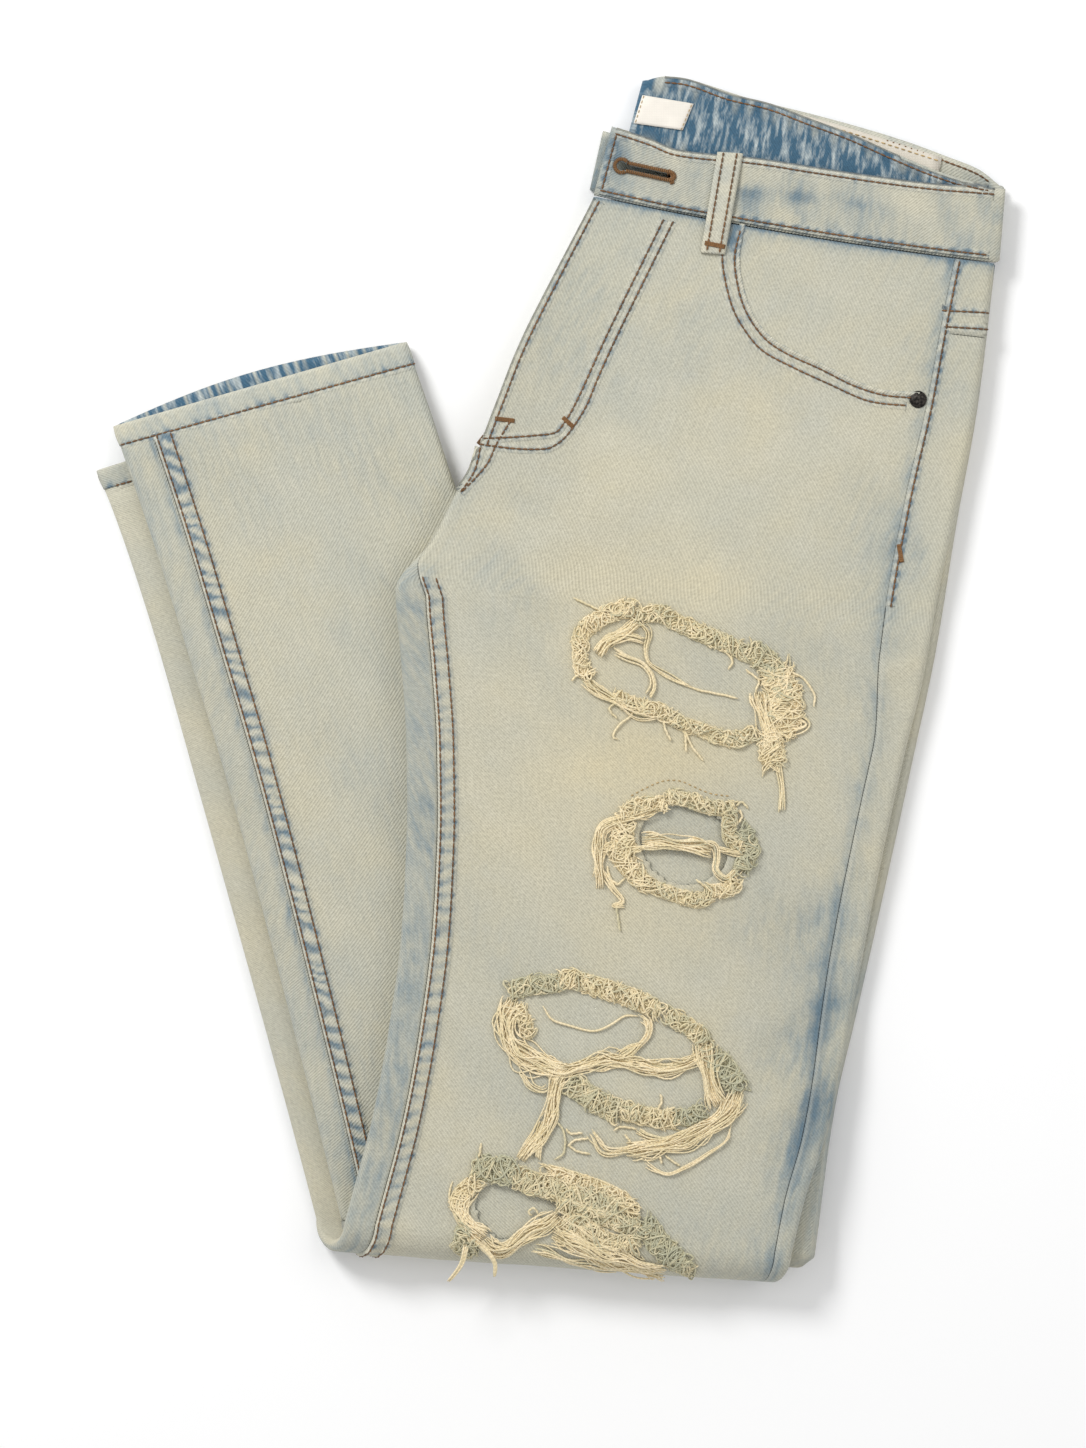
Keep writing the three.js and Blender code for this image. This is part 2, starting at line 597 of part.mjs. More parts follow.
// The waistband is one ribbon folded to and fro: its lengths lie on each other.
function waistband() {
  const sections = [];
  BAND.forEach((length, i) => {
    const rightward = i % 2 === 0;
    const steps = rightward ? range(9, 0, 1) : range(9, 1, 0);
    const [insideZ, outsideZ] = rightward ? [length.low, length.high] : [length.high, length.low];
    steps.forEach((t) => sections.push(bandSection(bandEdges(length, t), insideZ, bandEdges(length, t), outsideZ)));
    if (i < BAND.length - 1) sections.push(...bandFold(length, BAND[i + 1], rightward));
  });
  return fromManifold(toManifold(loft(sections)).subtract(buttonhole()));
}

// A keyhole: a round eye with a slot that runs from it.
function buttonhole() {
  const { eye, tail, eyeRadius, slotHalfWidth } = BUTTONHOLE;
  const heading = Math.atan2(tail[1] - eye[1], tail[0] - eye[0]);
  const opening = Math.asin(slotHalfWidth / eyeRadius);
  const round = range(10, heading + opening, heading + 2 * Math.PI - opening)
    .map((a) => [eye[0] + eyeRadius * Math.cos(a), eye[1] + eyeRadius * Math.sin(a)]);
  const tip = range(4, heading - Math.PI / 2, heading + Math.PI / 2)
    .map((a) => [tail[0] + slotHalfWidth * Math.cos(a), tail[1] + slotHalfWidth * Math.sin(a)]);
  return cutter([...round, ...tip], BAND[1].high + GAP, BAND[0].high + 1);
}

// Height of the left front panel's outer side, on the facets that it is made of.
const frontStations = [...thighStations(0, 1), ...foldStations];
const frontGrid = frontStations.map((station) => frontPositions(stationWidth(LEFT_LEG, station), station)
  .map((position) => ringPlace(LEFT_LEG, station, position, 0)));

function heightOnTriangle([a, b, c], x, y) {
  const area = (b[0] - a[0]) * (c[1] - a[1]) - (c[0] - a[0]) * (b[1] - a[1]);
  if (Math.abs(area) < 1e-9) return -Infinity;
  const v = ((x - a[0]) * (c[1] - a[1]) - (c[0] - a[0]) * (y - a[1])) / area;
  const w = ((b[0] - a[0]) * (y - a[1]) - (x - a[0]) * (b[1] - a[1])) / area;
  const inside = v > -1e-6 && w > -1e-6 && v + w < 1 + 1e-6;
  return inside ? a[2] + v * (b[2] - a[2]) + w * (c[2] - a[2]) : -Infinity;
}

function frontHeight(x, y) {
  let height = -Infinity;
  for (let i = 0; i < frontGrid.length - 1; i += 1) {
    for (let j = 0; j < frontGrid[0].length - 1; j += 1) {
      const [a, b, c, d] = [frontGrid[i][j], frontGrid[i][j + 1], frontGrid[i + 1][j + 1], frontGrid[i + 1][j]];
      height = Math.max(height, heightOnTriangle([a, b, c], x, y), heightOnTriangle([a, c, d], x, y));
    }
  }
  return height > 0 ? height : thighSurface(x, y);
}

// The patch sewn behind a rip: a plate under the panel, past the opening all round.
const PATCH_MARGIN = 13;
function ripBacking(rip) {
  const xs = rip.opening.map((p) => p[0]);
  const ys = rip.opening.map((p) => p[1]);
  const [left, right] = [Math.min(...xs) - PATCH_MARGIN, Math.max(...xs) + PATCH_MARGIN];
  const foot = Math.max(Math.min(...ys) - PATCH_MARGIN, PATCH_FOOT_LIMIT);
  const rows = range(4, Math.max(...ys) + PATCH_MARGIN, foot);
  const under = CLOTH + 3 * GAP;
  return plate(rows.map((y) => [left, y]), rows.map((y) => [right, y]), 5,
    (x, y) => frontHeight(x, y) - under - PATCH_WALL, (x, y) => frontHeight(x, y) - under);
}

// The field of loose yarn round a rip: a low bank that stands on the panel from the opening's
// edge to the yarns' reach.
const FRAY_STEPS = 18;
const FRAY_PROFILE = [[0.02, 0.45], [0.35, 1], [0.98, 0.4]]; // [share of the way out, share of height]
const FRAY_CLEARANCE = 2 * GAP;
const OPENING_LIP = 1.5; // the yarn starts this far outside the opening's edge
function fray(rip) {
  const opening = roundOutline(rip.opening, FRAY_STEPS);
  const middle = [0, 1].map((k) => opening.reduce((sum, p) => sum + p[k], 0) / opening.length);
  const reach = roundOutline(rip.reach, 4 * FRAY_STEPS);
  const heading = ([x, y]) => Math.atan2(y - middle[1], x - middle[0]);
  const nearest = (angle) => reach.reduce((best, p) => {
    const off = (q) => Math.abs(Math.atan2(Math.sin(heading(q) - angle), Math.cos(heading(q) - angle)));
    return off(p) < off(best) ? p : best;
  });
  const lines = opening.map((p) => {
    const angle = heading(p);
    const start = [p[0] + OPENING_LIP * Math.cos(angle), p[1] + OPENING_LIP * Math.sin(angle)];
    return [start, nearest(angle)];
  });
  const along = ([from, to], share) => [lerp(from[0], to[0], share), lerp(from[1], to[1], share)];
  const grid = (rise) => FRAY_PROFILE.map(([share, height]) => lines.map((line) => {
    const [x, y] = along(line, share);
    return [x, y, frontHeight(x, y) + FRAY_CLEARANCE + rise * height * FRAY_HEIGHT];
  }));
  return wall(grid(1), grid(0), true);
}

// The facing behind the pocket mouth: under the front panel on one side, under the back panel's
// edge on the other.
const FACING_OUTER = [[91, 235], [89, 221], [90, 206], [95, 191], [104, 175], [119, 163], [137, 154],
  [155, 145.5], [172, 141], [184, 139.5]];
const FACING_INNER = [[116, 229.5], [138, 225.5], [160, 221.5], [182, 217.5], [202, 215], [210, 213],
  [207.5, 200], [204, 185], [199, 168], [193.5, 150]];
function pocketFacing() {
  const under = CLOTH + GAP;
  const level = thighSurface(FACING_INNER[4][0], FACING_INNER[4][1]);
  return plate(FACING_OUTER, FACING_INNER, 3, () => level - under - PATCH_WALL, () => level - under);
}

function beltLoop() {
  const { left, right } = BELT_LOOP;
  const rows = range(8, 0, 1);
  const line = ([from, to]) => rows.map((t) => [lerp(from[0], to[0], t), lerp(from[1], to[1], t)]);
  const rise = (y) => BELT_LOOP.arch * Math.sin(Math.PI * clamp01((y - left[1][1]) / (left[0][1] - left[1][1])));
  const base = BAND[0].high + GAP;
  return plate(line(left), line(right), 2, (x, y) => base + rise(y), (x, y) => base + rise(y) + BELT_LOOP.wall);
}

function flatPlate(lineA, lineB, base, thickness) {
  return plate(lineA, lineB, 3, () => base, () => base + thickness);
}

// A domed rivet cap with a small flat rim.
function rivet() {
  const profile = [[0, 0], [RIVET_RADIUS, 0], [RIVET_RADIUS, 0.5], [3.4, 1.1], [1.9, 1.5], [0, 1.6]];
  const geometry = new THREE.LatheGeometry(profile.map(([r, z]) => new THREE.Vector2(r, z)), 24);
  geometry.rotateX(Math.PI / 2);
  geometry.translate(RIVET_AT[0], RIVET_AT[1], thighSurface(...RIVET_AT) + GAP);
  return geometry;
}

add('left_front_leg', leftFrontLeg(), denim());
add('left_back_leg', leftBackLeg(), denim());
add('left_back_yoke', leftBackYoke(), denim());
add('right_front_leg', rightLegPanel(frontPositions), denim());
add('right_back_leg', rightLegPanel(backPositions), denim());
add('left_hem', hem(LEFT_LEG), denim());
add('right_hem', hem(RIGHT_LEG), denim());
add('hidden_layers', hiddenLayers(), denim());
add('waistband', waistband(), denim());
add('belt_loop', beltLoop(), denim());
add('pocket_facing', pocketFacing(), denim());
add('woven_label', flatPlate(LABEL.left, LABEL.right, BAND[1].high + GAP, LABEL.wall), finish(0xebe4d8));
add('waist_patch', flatPlate(WAIST_PATCH.top, WAIST_PATCH.bottom, BAND[2].high + GAP, WAIST_PATCH.wall),
  finish(0xd7cfc2, 0.7));
add('pocket_rivet', rivet(), finish(0x3a3937, 0.45, 0.8));
for (const rip of RIPS) {
  add(`rip_backing_${rip.name}`, ripBacking(rip), finish(INDIGO_INSIDE));
  add(`rip_fray_${rip.name}`, fray(rip), finish(0xe2ca9c));
}

export default jeans;
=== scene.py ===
"""Folded ripped jeans: an add-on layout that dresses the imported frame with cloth, thread and yarn."""

import math

import bpy
import numpy as np
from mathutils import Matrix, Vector
from mathutils.bvhtree import BVHTree


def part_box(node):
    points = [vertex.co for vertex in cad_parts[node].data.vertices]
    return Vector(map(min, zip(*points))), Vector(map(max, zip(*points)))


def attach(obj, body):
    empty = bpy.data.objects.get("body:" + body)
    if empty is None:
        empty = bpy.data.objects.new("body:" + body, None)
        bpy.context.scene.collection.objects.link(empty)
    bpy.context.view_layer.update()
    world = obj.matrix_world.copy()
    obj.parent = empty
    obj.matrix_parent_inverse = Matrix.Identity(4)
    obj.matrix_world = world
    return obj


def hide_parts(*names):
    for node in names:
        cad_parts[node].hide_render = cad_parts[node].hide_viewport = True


bl_info = {
    "name": "Folded Ripped Jeans",
    "version": (1, 0, 0),
    "blender": (4, 5, 0),
    "location": "View3D > Sidebar > Jeans",
    "description": "Pale washed jeans, folded in half and under at the knee, with frayed rips",
    "category": "Object",
}

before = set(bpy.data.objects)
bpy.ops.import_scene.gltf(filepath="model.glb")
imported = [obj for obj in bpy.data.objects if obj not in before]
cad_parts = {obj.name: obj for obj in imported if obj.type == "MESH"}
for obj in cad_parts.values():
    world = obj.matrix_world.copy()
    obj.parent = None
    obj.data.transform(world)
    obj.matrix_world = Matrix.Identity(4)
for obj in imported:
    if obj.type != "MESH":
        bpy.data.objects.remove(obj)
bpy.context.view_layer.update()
MM = 0.001
BODY = "root"


def frame_mm(node, corner, axis):
    """One coordinate of a node's box, in millimetres. Corner 0 is the lowest, 1 the highest."""
    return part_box(node)[corner][axis] / MM


# ------------------------------------------------------------------ sizes, in millimetres
CLOTH = 1.5  # one layer of washed denim with the seam allowances pressed in
LEG = frame_mm("left_hem", 1, 2)  # a leg lying flat: two layers and the air between them
FOLD_AXIS = frame_mm("left_back_leg", 1, 2) / 2  # height of the knee fold's axis
OUTER_FOLD = FOLD_AXIS - LEG  # radius inside the left leg's fold
INNER_FOLD = frame_mm("hidden_layers", 1, 2) - FOLD_AXIS - LEG  # radius inside the right leg's
THIGH_DROP = FOLD_AXIS + INNER_FOLD  # how far the thighs come down where no calf lies under them
DROP_WIDTH = 90
CALF_DROP = FOLD_AXIS - INNER_FOLD - LEG  # how far the right calf comes down past the left hem
CALF_DROP_WIDTH = 34
HEM_DEPTH = 11
HEM_WALL = 2.2
ARC = math.pi * LEG / 4  # a quarter turn of a rolled edge, along the cloth
WAIST_BOW = 2.6
WAIST_BOW_END = 0.3
YOKE_END = 0.075
CROTCH = 0.345  # shares of the thigh's length where the inseam comes over the rolled edge
CORNER = 0.39
THIGH_LENGTH = 545
CALF_LENGTH = 440
HEM_START = 3 - HEM_DEPTH / CALF_LENGTH  # the station where the hem begins
INSEAM_INSET = 16
KNEE_INSEAM_INSET = 14.2
HEM_INSEAM_INSET = 18.2
FELL_WIDTH = 7.3  # between the two rows of stitches of the felled inseam
SEAM_ON_ROLL = 1.5

# Edges of the folded legs seen from above, from the waist's end down, and of the calves from the
# knee up.
THIGH_LEFT = [
    (22, 251.5), (17.5, 242), (-13.5, 181.5), (-28, 145), (-37.5, 120), (-49, 98), (-63, 71),
    (-81, 46), (-78, 8), (-75.5, -30), (-75, -68), (-76, -100), (-78, -132), (-84.5, -181.5),
    (-92.5, -225), (-107.4, -282),
]
THIGH_RIGHT = [
    (231, 216.5), (229, 202), (221.5, 143), (211, 89.5), (201, 40), (194.5, 3), (183.5, -42),
    (169.5, -107), (156, -177), (142, -239), (131.5, -270), (124.5, -298.5),
]
UNDER_THIGH_RIGHT = [
    (232, 216.5), (223, 143), (211.5, 79), (201, 14.5), (189, -42), (174.5, -108.5), (159, -177),
    (148, -223), (137, -299.5),
]
UPPER_CALF_LEFT = [
    (-109.5, -282), (-131, -196.5), (-172.5, -42), (-189, 11.5), (-209.5, 77), (-228.5, 132),
]
UPPER_CALF_RIGHT = [
    (124, -298.5), (87.5, -193), (51, -104.5), (12, -21), (-21.5, 41), (-49, 98), (-64, 142.5),
    (-76, 176),
]
LOWER_CALF_LEFT = [
    (-123, -282), (-131, -251.5), (-189, -42), (-208, 24.5), (-227, 82), (-237.5, 109),
]
LOWER_CALF_RIGHT = [
    (113, -298.5), (77, -193), (40, -104.5), (1, -21), (-32, 41), (-60, 98), (-85, 153),
]
OUTSEAM_INSET = [(0, 21), (0.12, 25), (0.25, 27), (0.4, 25), (0.5, 17), (0.7, 17), (0.85, 13), (1, 9)]

# Rows of topstitching on the left front, seen from above.
FLY_INNER = [(58.5, 239.5), (30, 181.5), (13.5, 145.5), (6, 132.5), (1.5, 128), (-8.5, 126.5),
             (-19.5, 125.5), (-35, 124.5)]
FLY_OUTER = [(63.5, 238.5), (35.5, 181.5), (24.5, 157.5), (18, 142), (9, 128), (2.5, 122),
             (-4, 119.5), (-19.5, 119.5), (-37, 121.5)]
CROTCH_UPPER = [(-21, 134.5), (-28.5, 122), (-34, 110.5), (-47, 96)]
CROTCH_LOWER = [(-36.5, 120), (-40, 107.5), (-47, 96.5)]
FLY_EDGE = [(25, 249), (20.5, 240.5), (-10.5, 180), (-25, 144), (-34, 120)]
POCKET_MOUTH = [(100.5, 237), (98, 221), (99, 208), (103.5, 193), (112, 180), (124, 172), (141, 164),
                (158, 155.5), (173, 150.5), (194, 149)]
POCKET_INNER = [(98.5, 234), (95.5, 221), (96.5, 207.5), (101, 192), (110.5, 178), (122.5, 169.5),
                (140, 161.5), (157, 153), (172.5, 148), (187, 146.5)]
POCKET_OUTER = [(90.5, 233), (89, 220), (90.5, 207.5), (94.5, 193), (100.5, 182), (110, 171),
                (126.5, 162), (145, 153.5), (161.5, 146), (172.5, 143.5), (185, 142.5)]

# Each rip: the hole through the front panel, and its yarn. A mat is short yarn matted across a
# line, a bundle is yarn lying along it, and a loose yarn lies on its own. Each has a tone from
# cream, 0, to the grey blue of the dyed threads, 1, a width, and its line seen from above.
RIPS = {
    "1": {
        "opening": [(22, 12), (50, 22), (85, 20), (106, 2), (100, -22), (70, -22), (44, -20), (28, -8)],
        "mats": [
            (0.1, 9, [(14, 14), (15.5, 23), (23, 30), (32, 35), (43, 37)]),
            (0.35, 9, [(44, 33), (56, 34), (67, 29), (79, 23.5), (91, 18.5), (102, 14)]),
            (0.5, 12, [(103, 15), (112, 9.5), (118, 0), (121, -9)]),
            (0.0, 17, [(117, 3), (121, -8), (122, -18), (119, -28)]),
            (0.05, 13, [(114, -29), (115, -38), (116, -44)]),
            (0.2, 7.5, [(32, -8.5), (43, -13), (54.5, -16), (65.5, -21.5)]),
            (0.3, 8, [(65, -22), (78, -26), (88, -30), (97, -31.5), (106, -28)]),
            (0.1, 8, [(14.5, 15), (16, 6), (20, 3)]),
        ],
        "bundles": [
            (0.0, 7, [(108, -6), (110.5, -18), (113, -28), (115, -38)]),
            (0.0, 5, [(24, 12), (30, 20), (39, 25), (46, 30)]),
            (0.2, 4, [(27, 17), (32, 20.5), (39, 22), (49, 19.5)]),
            (0.0, 5, [(16.5, 1), (22, -5), (31, -10), (43, -16), (52, -18), (58, -17)]),
            (0.0, 2.2, [(117.5, -40), (119.5, -51), (120.5, -60), (120, -71)]),
            (0.1, 2.2, [(46, 30), (50.5, 24), (49, 16), (50, 9), (54.5, 5), (64, -0.5), (75, -5)]),
            (0.05, 2.4, [(31, 16), (38.5, 11), (47, 8), (51.5, 2.5), (52.5, -4), (49.5, -10)]),
            (0.0, 3, [(117, -17), (127, -19), (133.5, -23), (130, -26.5), (118.5, -28)]),
        ],
        "loose": [
            [(64, -0.5), (75, -5.2), (88, -8), (97, -10)], [(11.5, 42), (19, 38.5), (28, 34.5)],
            [(46, -10), (41, -19), (34.5, -24.5), (32, -30), (34.5, -31)],
            [(69.5, -27), (73, -35), (79, -42.5)], [(58, -22), (59.5, -27), (62, -32)],
            [(88, 17), (93.5, 11), (94, 8), (92, 5)], [(69.5, -28), (70, -38)],
            [(124, 4), (131.5, 0), (137, -8.5), (136.5, -14.5)], [(17, 3), (13, 1.5), (10.5, -1)],
            [(33, -12), (30, -16), (34, -20.5)], [(101, 5), (105, 2), (108, -1), (106, -7)],
        ],
    },
    "2": {
        "opening": [(54, -68), (80, -66), (91, -80), (90, -96), (76, -106), (58, -104), (48, -92),
                    (46, -80)],
        "mats": [
            (0.15, 8, [(36, -71), (42.5, -66.5), (50.5, -64), (59, -65)]),
            (0.3, 8, [(60.5, -61), (69.5, -62), (79, -65.5), (88, -67), (95, -67)]),
            (0.05, 10, [(31.5, -86), (36, -92.5), (42, -99.5), (49, -106)]),
            (0.25, 7.5, [(50.5, -107), (59, -110), (68, -113), (76.5, -115), (82, -112.5)]),
            (0.05, 8, [(80, -110), (86, -109.5), (92, -109), (95.5, -105)]),
            (0.3, 8, [(93.5, -70), (92.5, -76.5), (94, -83), (99, -87.5)]),
            (0.75, 9, [(99, -78), (103, -85), (103, -92), (98, -100)]),
            (0.1, 11, [(38, -75), (36.5, -83), (41, -91)]),
        ],
        "bundles": [
            (0.0, 4.6, [(56, -66), (46, -70), (33, -74), (26, -78), (24.5, -86), (24.5, -95), (25, -103),
                        (25, -110)]),
            (0.0, 6.4, [(46, -84), (56, -84.5), (65, -86), (75, -87), (84, -89)]),
            (0.0, 2.6, [(34, -84), (40, -88), (49, -86.5), (58, -87)]),
            (0.0, 2.8, [(75, -86), (84, -86.5), (85.5, -93), (85, -99), (90.5, -104), (97, -99),
                        (100, -93)]),
            (0.0, 3, [(86, -88), (93, -89.5), (100, -91)]),
            (0.1, 2.6, [(26.5, -101), (31.5, -109), (36.5, -115), (31.5, -117.5), (38, -118)]),
        ],
        "loose": [
            [(33.5, -118), (34.5, -124.5), (35.5, -130.5)], [(26.5, -99), (31, -104), (35, -107)],
            [(96, -66), (99, -64), (102.5, -67.5)], [(45, -110), (52, -110), (56, -105)],
            [(29, -97), (30, -102), (34, -106.5), (38, -103)], [(75, -104), (80, -108), (83, -111)],
            [(98, -68), (99, -72), (96, -76)], [(57, -62), (60, -66), (58, -70)],
        ],
    },
    "3": {
        "opening": [(6, -163), (36, -163), (60, -172.5), (75, -187), (83, -204), (74, -216), (56, -221),
                    (40, -218), (22, -210), (6, -203), (-13, -191), (-14, -173)],
        "mats": [
            (0.6, 10, [(-21, -161), (-12, -159), (-3.5, -158), (5.5, -157)]),
            (0.2, 10, [(6, -156), (12, -156), (22.5, -158.5), (34.5, -162.5), (46, -167), (55, -172)]),
            (0.35, 9, [(60, -174.5), (68, -178), (76, -184), (80, -189)]),
            (0.85, 12, [(85, -196), (91, -203), (96, -212)]),
            (0.5, 12, [(10.5, -209.5), (18.5, -215.5), (27.5, -221), (34.5, -225)]),
            (0.25, 10, [(38, -223.5), (48, -226), (57, -228), (64, -228)]),
            (0.8, 9, [(64, -226), (71, -227), (78, -223)]),
            (0.15, 8, [(-20, -170), (-14, -176), (-12, -184)]),
        ],
        "bundles": [
            (0.0, 9, [(-19, -165), (-23, -177), (-21, -188), (-12.5, -196), (0.5, -201.5), (9, -203.5)]),
            (0.0, 7.5, [(-12, -196), (5, -203), (14.5, -200), (26.5, -197), (36.5, -197.5), (47.5, -199.5),
                        (58, -201.5), (69, -199.5), (80, -192)]),
            (0.0, 4, [(34, -197), (44, -191), (50, -185), (50.5, -177), (45.5, -172.5)]),
            (0.0, 8, [(79, -188), (81.5, -203), (84, -213), (88, -221)]),
            (0.0, 8, [(97, -211), (94, -219), (88, -227), (77, -233.5), (65, -239), (52, -242),
                      (38, -243.5)]),
            (0.0, 3.6, [(60, -240), (38, -244), (27.5, -244.5), (22.5, -238), (19.5, -234)]),
            (0.0, 6.5, [(9, -200), (3.5, -207), (1.5, -215), (-0.5, -227), (-5, -235), (-12, -244),
                        (-16.5, -250)]),
            (0.1, 3, [(-3.5, -229), (-6, -240), (-7, -250)]),
            (0.0, 2, [(46.5, -246), (50.5, -251), (60, -256), (70, -252), (80, -246), (90, -239),
                      (93, -229)]),
            (0.2, 3, [(-15, -203), (-11, -210), (-5, -213), (-1, -211)]),
            (0.1, 2.4, [(44, -233), (50.5, -237), (62, -237.5), (72, -234)]),
        ],
        "loose": [
            [(-4.5, -169.5), (0.5, -176.5), (12.5, -180.5), (22.5, -182.5), (31.5, -178.5), (38.5, -174.5),
             (45, -174.5)],
            [(2.5, -229), (6.5, -235), (6.5, -245), (1.5, -249)], [(7.5, -233), (10, -235.5), (16, -235)],
            [(8.5, -241), (13, -244.5), (20, -246)], [(19, -238), (12, -239), (8.5, -242)],
            [(55, -223), (57, -219), (56.5, -215)], [(56, -246), (57, -251)],
            [(59, -247), (63, -250), (66.5, -252)], [(-5, -251), (1, -256), (5, -262)],
            [(32, -234), (36, -232), (44, -233)], [(38, -236), (41, -240)],
        ],
    },
    "4": {
        "opening": [(-38, -267), (-26, -260), (-10, -259.5), (7, -267), (6, -277), (-14, -288), (-28, -290),
                    (-38, -280)],
        "mats": [
            (0.7, 13, [(-38, -252), (-29.5, -254.5), (-20.5, -254)]),
            (0.35, 12, [(-19.5, -257.5), (-9.5, -261), (0.5, -264), (12.5, -267), (26, -271), (36, -274)]),
            (0.1, 7, [(-3.5, -254.5), (6.5, -257.5), (16.5, -260.5), (26.5, -264), (36, -269), (42, -275)]),
            (0.05, 9, [(-40, -261), (-47, -268), (-48, -276)]),
            (0.3, 10, [(6.5, -281), (16.5, -283), (23, -288), (32, -292), (44, -294)]),
            (0.75, 12, [(48, -282), (54, -290), (60, -297), (67, -303)]),
            (0.6, 9, [(62, -301), (69, -305), (74, -308)]),
            (0.6, 7, [(-51, -291), (-46, -296), (-41, -298)]),
            (0.5, 8, [(38, -281), (44, -285), (46, -290)]),
            (0.4, 9, [(4, -272), (16, -275), (28, -279), (40, -283)]),
            (0.6, 8, [(-45, -283), (-46, -290), (-40, -294)]),
        ],
        "bundles": [
            (0.0, 8, [(-44, -262), (-48, -270), (-47.5, -277), (-42, -285), (-35, -291)]),
            (0.0, 6.5, [(-36, -290), (-31, -295), (-24.5, -296), (-16.5, -290), (-5.5, -283),
                        (4.5, -276.5)]),
            (0.05, 9, [(0, -286), (12, -292.5), (24, -299), (36, -302.5), (48, -306), (60, -309)]),
            (0.1, 3, [(-10, -295), (2.5, -299), (12, -303), (24, -305), (36, -307.5)]),
            (0.05, 8, [(3, -280), (12, -286), (24, -293), (38, -299)]),
            (0.3, 4, [(-8, -262), (8, -269), (24, -275), (38, -277)]),
        ],
        "loose": [
            [(-36.5, -240.5), (-37.5, -247), (-41, -251)], [(-41, -253), (-41, -259), (-36, -262)],
            [(6, -253), (10, -256), (13, -259)], [(-10, -278), (-12, -276), (-9, -274), (-7, -277)],
            [(42, -276), (46, -279), (42, -279)],
        ],
        "tails": [
            [(-44, -292), (-46, -301), (-49.5, -307), (-53.5, -312)],
            [(-41, -290), (-33.5, -297), (-29.5, -303), (-29.5, -310)],
        ],
    },
}
PATCH_STITCHES = [(40.5, -61), (49, -56.5), (58, -53), (66.5, -53), (74, -56), (82.5, -59.5), (93, -61)]

# Creases on the left thigh, as (start, end, half width, height): negative heights are troughs.
CREASES = [
    ((176, -150), (98, -205), 9, -0.9), ((168, -182), (104, -232), 8, 0.8),
    ((172, -96), (118, -140), 8, -0.6), ((150, -210), (110, -262), 8, -0.7),
    ((-20, 60), (60, 110), 14, 0.9), ((-40, 70), (10, 20), 12, -0.8),
    ((-30, 100), (20, 70), 8, -0.7), ((60, 95), (170, 120), 16, 0.7),
    ((196, 10), (168, 2), 5, 0.9), ((200, 62), (172, 70), 7, -0.6),
    ((-66, 10), (-20, -30), 14, 0.6), ((-60, -120), (-10, -170), 13, -0.7),
    ((20, 130), (70, 90), 12, 0.6), ((70, 200), (80, 150), 12, -0.5),
]

# The waistband is one ribbon folded to and fro. Each length: its top and bottom edges from left
# to right, and its lowest and highest height. Without a bottom, it ends on the waist seam.
BACK_BOTTOM = [(41, 276), (94, 264), (148, 248), (196, 234), (230, 222)]
BAND = [
    {
        "top": [(31.5, 288), (52, 281), (65, 275.5), (86, 273), (100, 272), (148, 265), (196, 258.5),
                (234, 255.5)],
        "bottom": None, "low": 12.2, "high": 15.4,
    },
    {
        "top": [(50.5, 312.5), (56, 314), (66, 313.5), (94, 304.5), (113, 300), (134, 292), (154, 284.5),
                (178, 273.5), (202, 263.5), (220, 258), (233, 255.5)],
        "bottom": BACK_BOTTOM, "low": 8.6, "high": 11.6,
    },
    {
        "top": [(51, 312), (58, 315), (107, 302.5), (143, 293.5), (184, 281.5), (207, 273), (224, 266),
                (234, 258)],
        "bottom": BACK_BOTTOM, "low": 3.8, "high": 6.8,
    },
    {
        "top": [(27, 287), (52, 279), (65, 273.5), (86, 271), (100, 270), (148, 263), (196, 256.5),
                (233, 254)],
        "bottom": [(20, 256), (44, 249), (77, 244), (100, 240), (164, 229), (212, 222), (230, 219.5)],
        "low": 0, "high": 3,
    },
]
BAND_END_REACH = 3.2
BAND_STEPS = 72  # points along each length
LAYER_GAP = 0.3  # between the waistband and what is sewn on it
BUTTONHOLE = {"eye": (36.5, 267.3), "tail": (62, 261.8), "radius": 2.6, "slot": 1.2}
LOOP_LEFT = [(86.4, 274.5), (77.6, 222)]
LOOP_RIGHT = [(99.8, 273.6), (90.4, 221)]
LABEL = [[(47.4, 304.5), (42.8, 289.8)], [(74.2, 300), (68.5, 286.2)]]
WAIST_PATCH = [[(106, 301), (150, 289.5), (204, 272.5)], [(104, 279), (148, 266), (199, 250)]]
FACING_OUTER = [(91, 235), (89, 221), (90, 206), (95, 191), (104, 175), (119, 163), (137, 154),
                (155, 145.5), (172, 141), (184, 139.5)]
FACING_INNER = [(116, 229.5), (138, 225.5), (160, 221.5), (182, 217.5), (202, 215), (210, 213),
                (207.5, 200), (204, 185), (199, 168), (193.5, 150)]


# ------------------------------------------------------------------ curves and noise
def smooth(x):
    """0 below nothing, 1 above one, and a soft step between."""
    x = np.clip(x, 0, 1)
    return x * x * (3 - 2 * x)


def bell(x, width):
    """1 at nothing, falling away on both sides by a width."""
    return np.exp(-(x / width) ** 2)


def spots(x, y, places):
    """Soft round tints, each as (strength, middle x, middle y, reach x, reach y)."""
    return sum(strength * np.exp(-((x - cx) / rx) ** 2 - ((y - cy) / ry) ** 2)
               for strength, cx, cy, rx, ry in places)


FAR = 1e9  # farther than any place


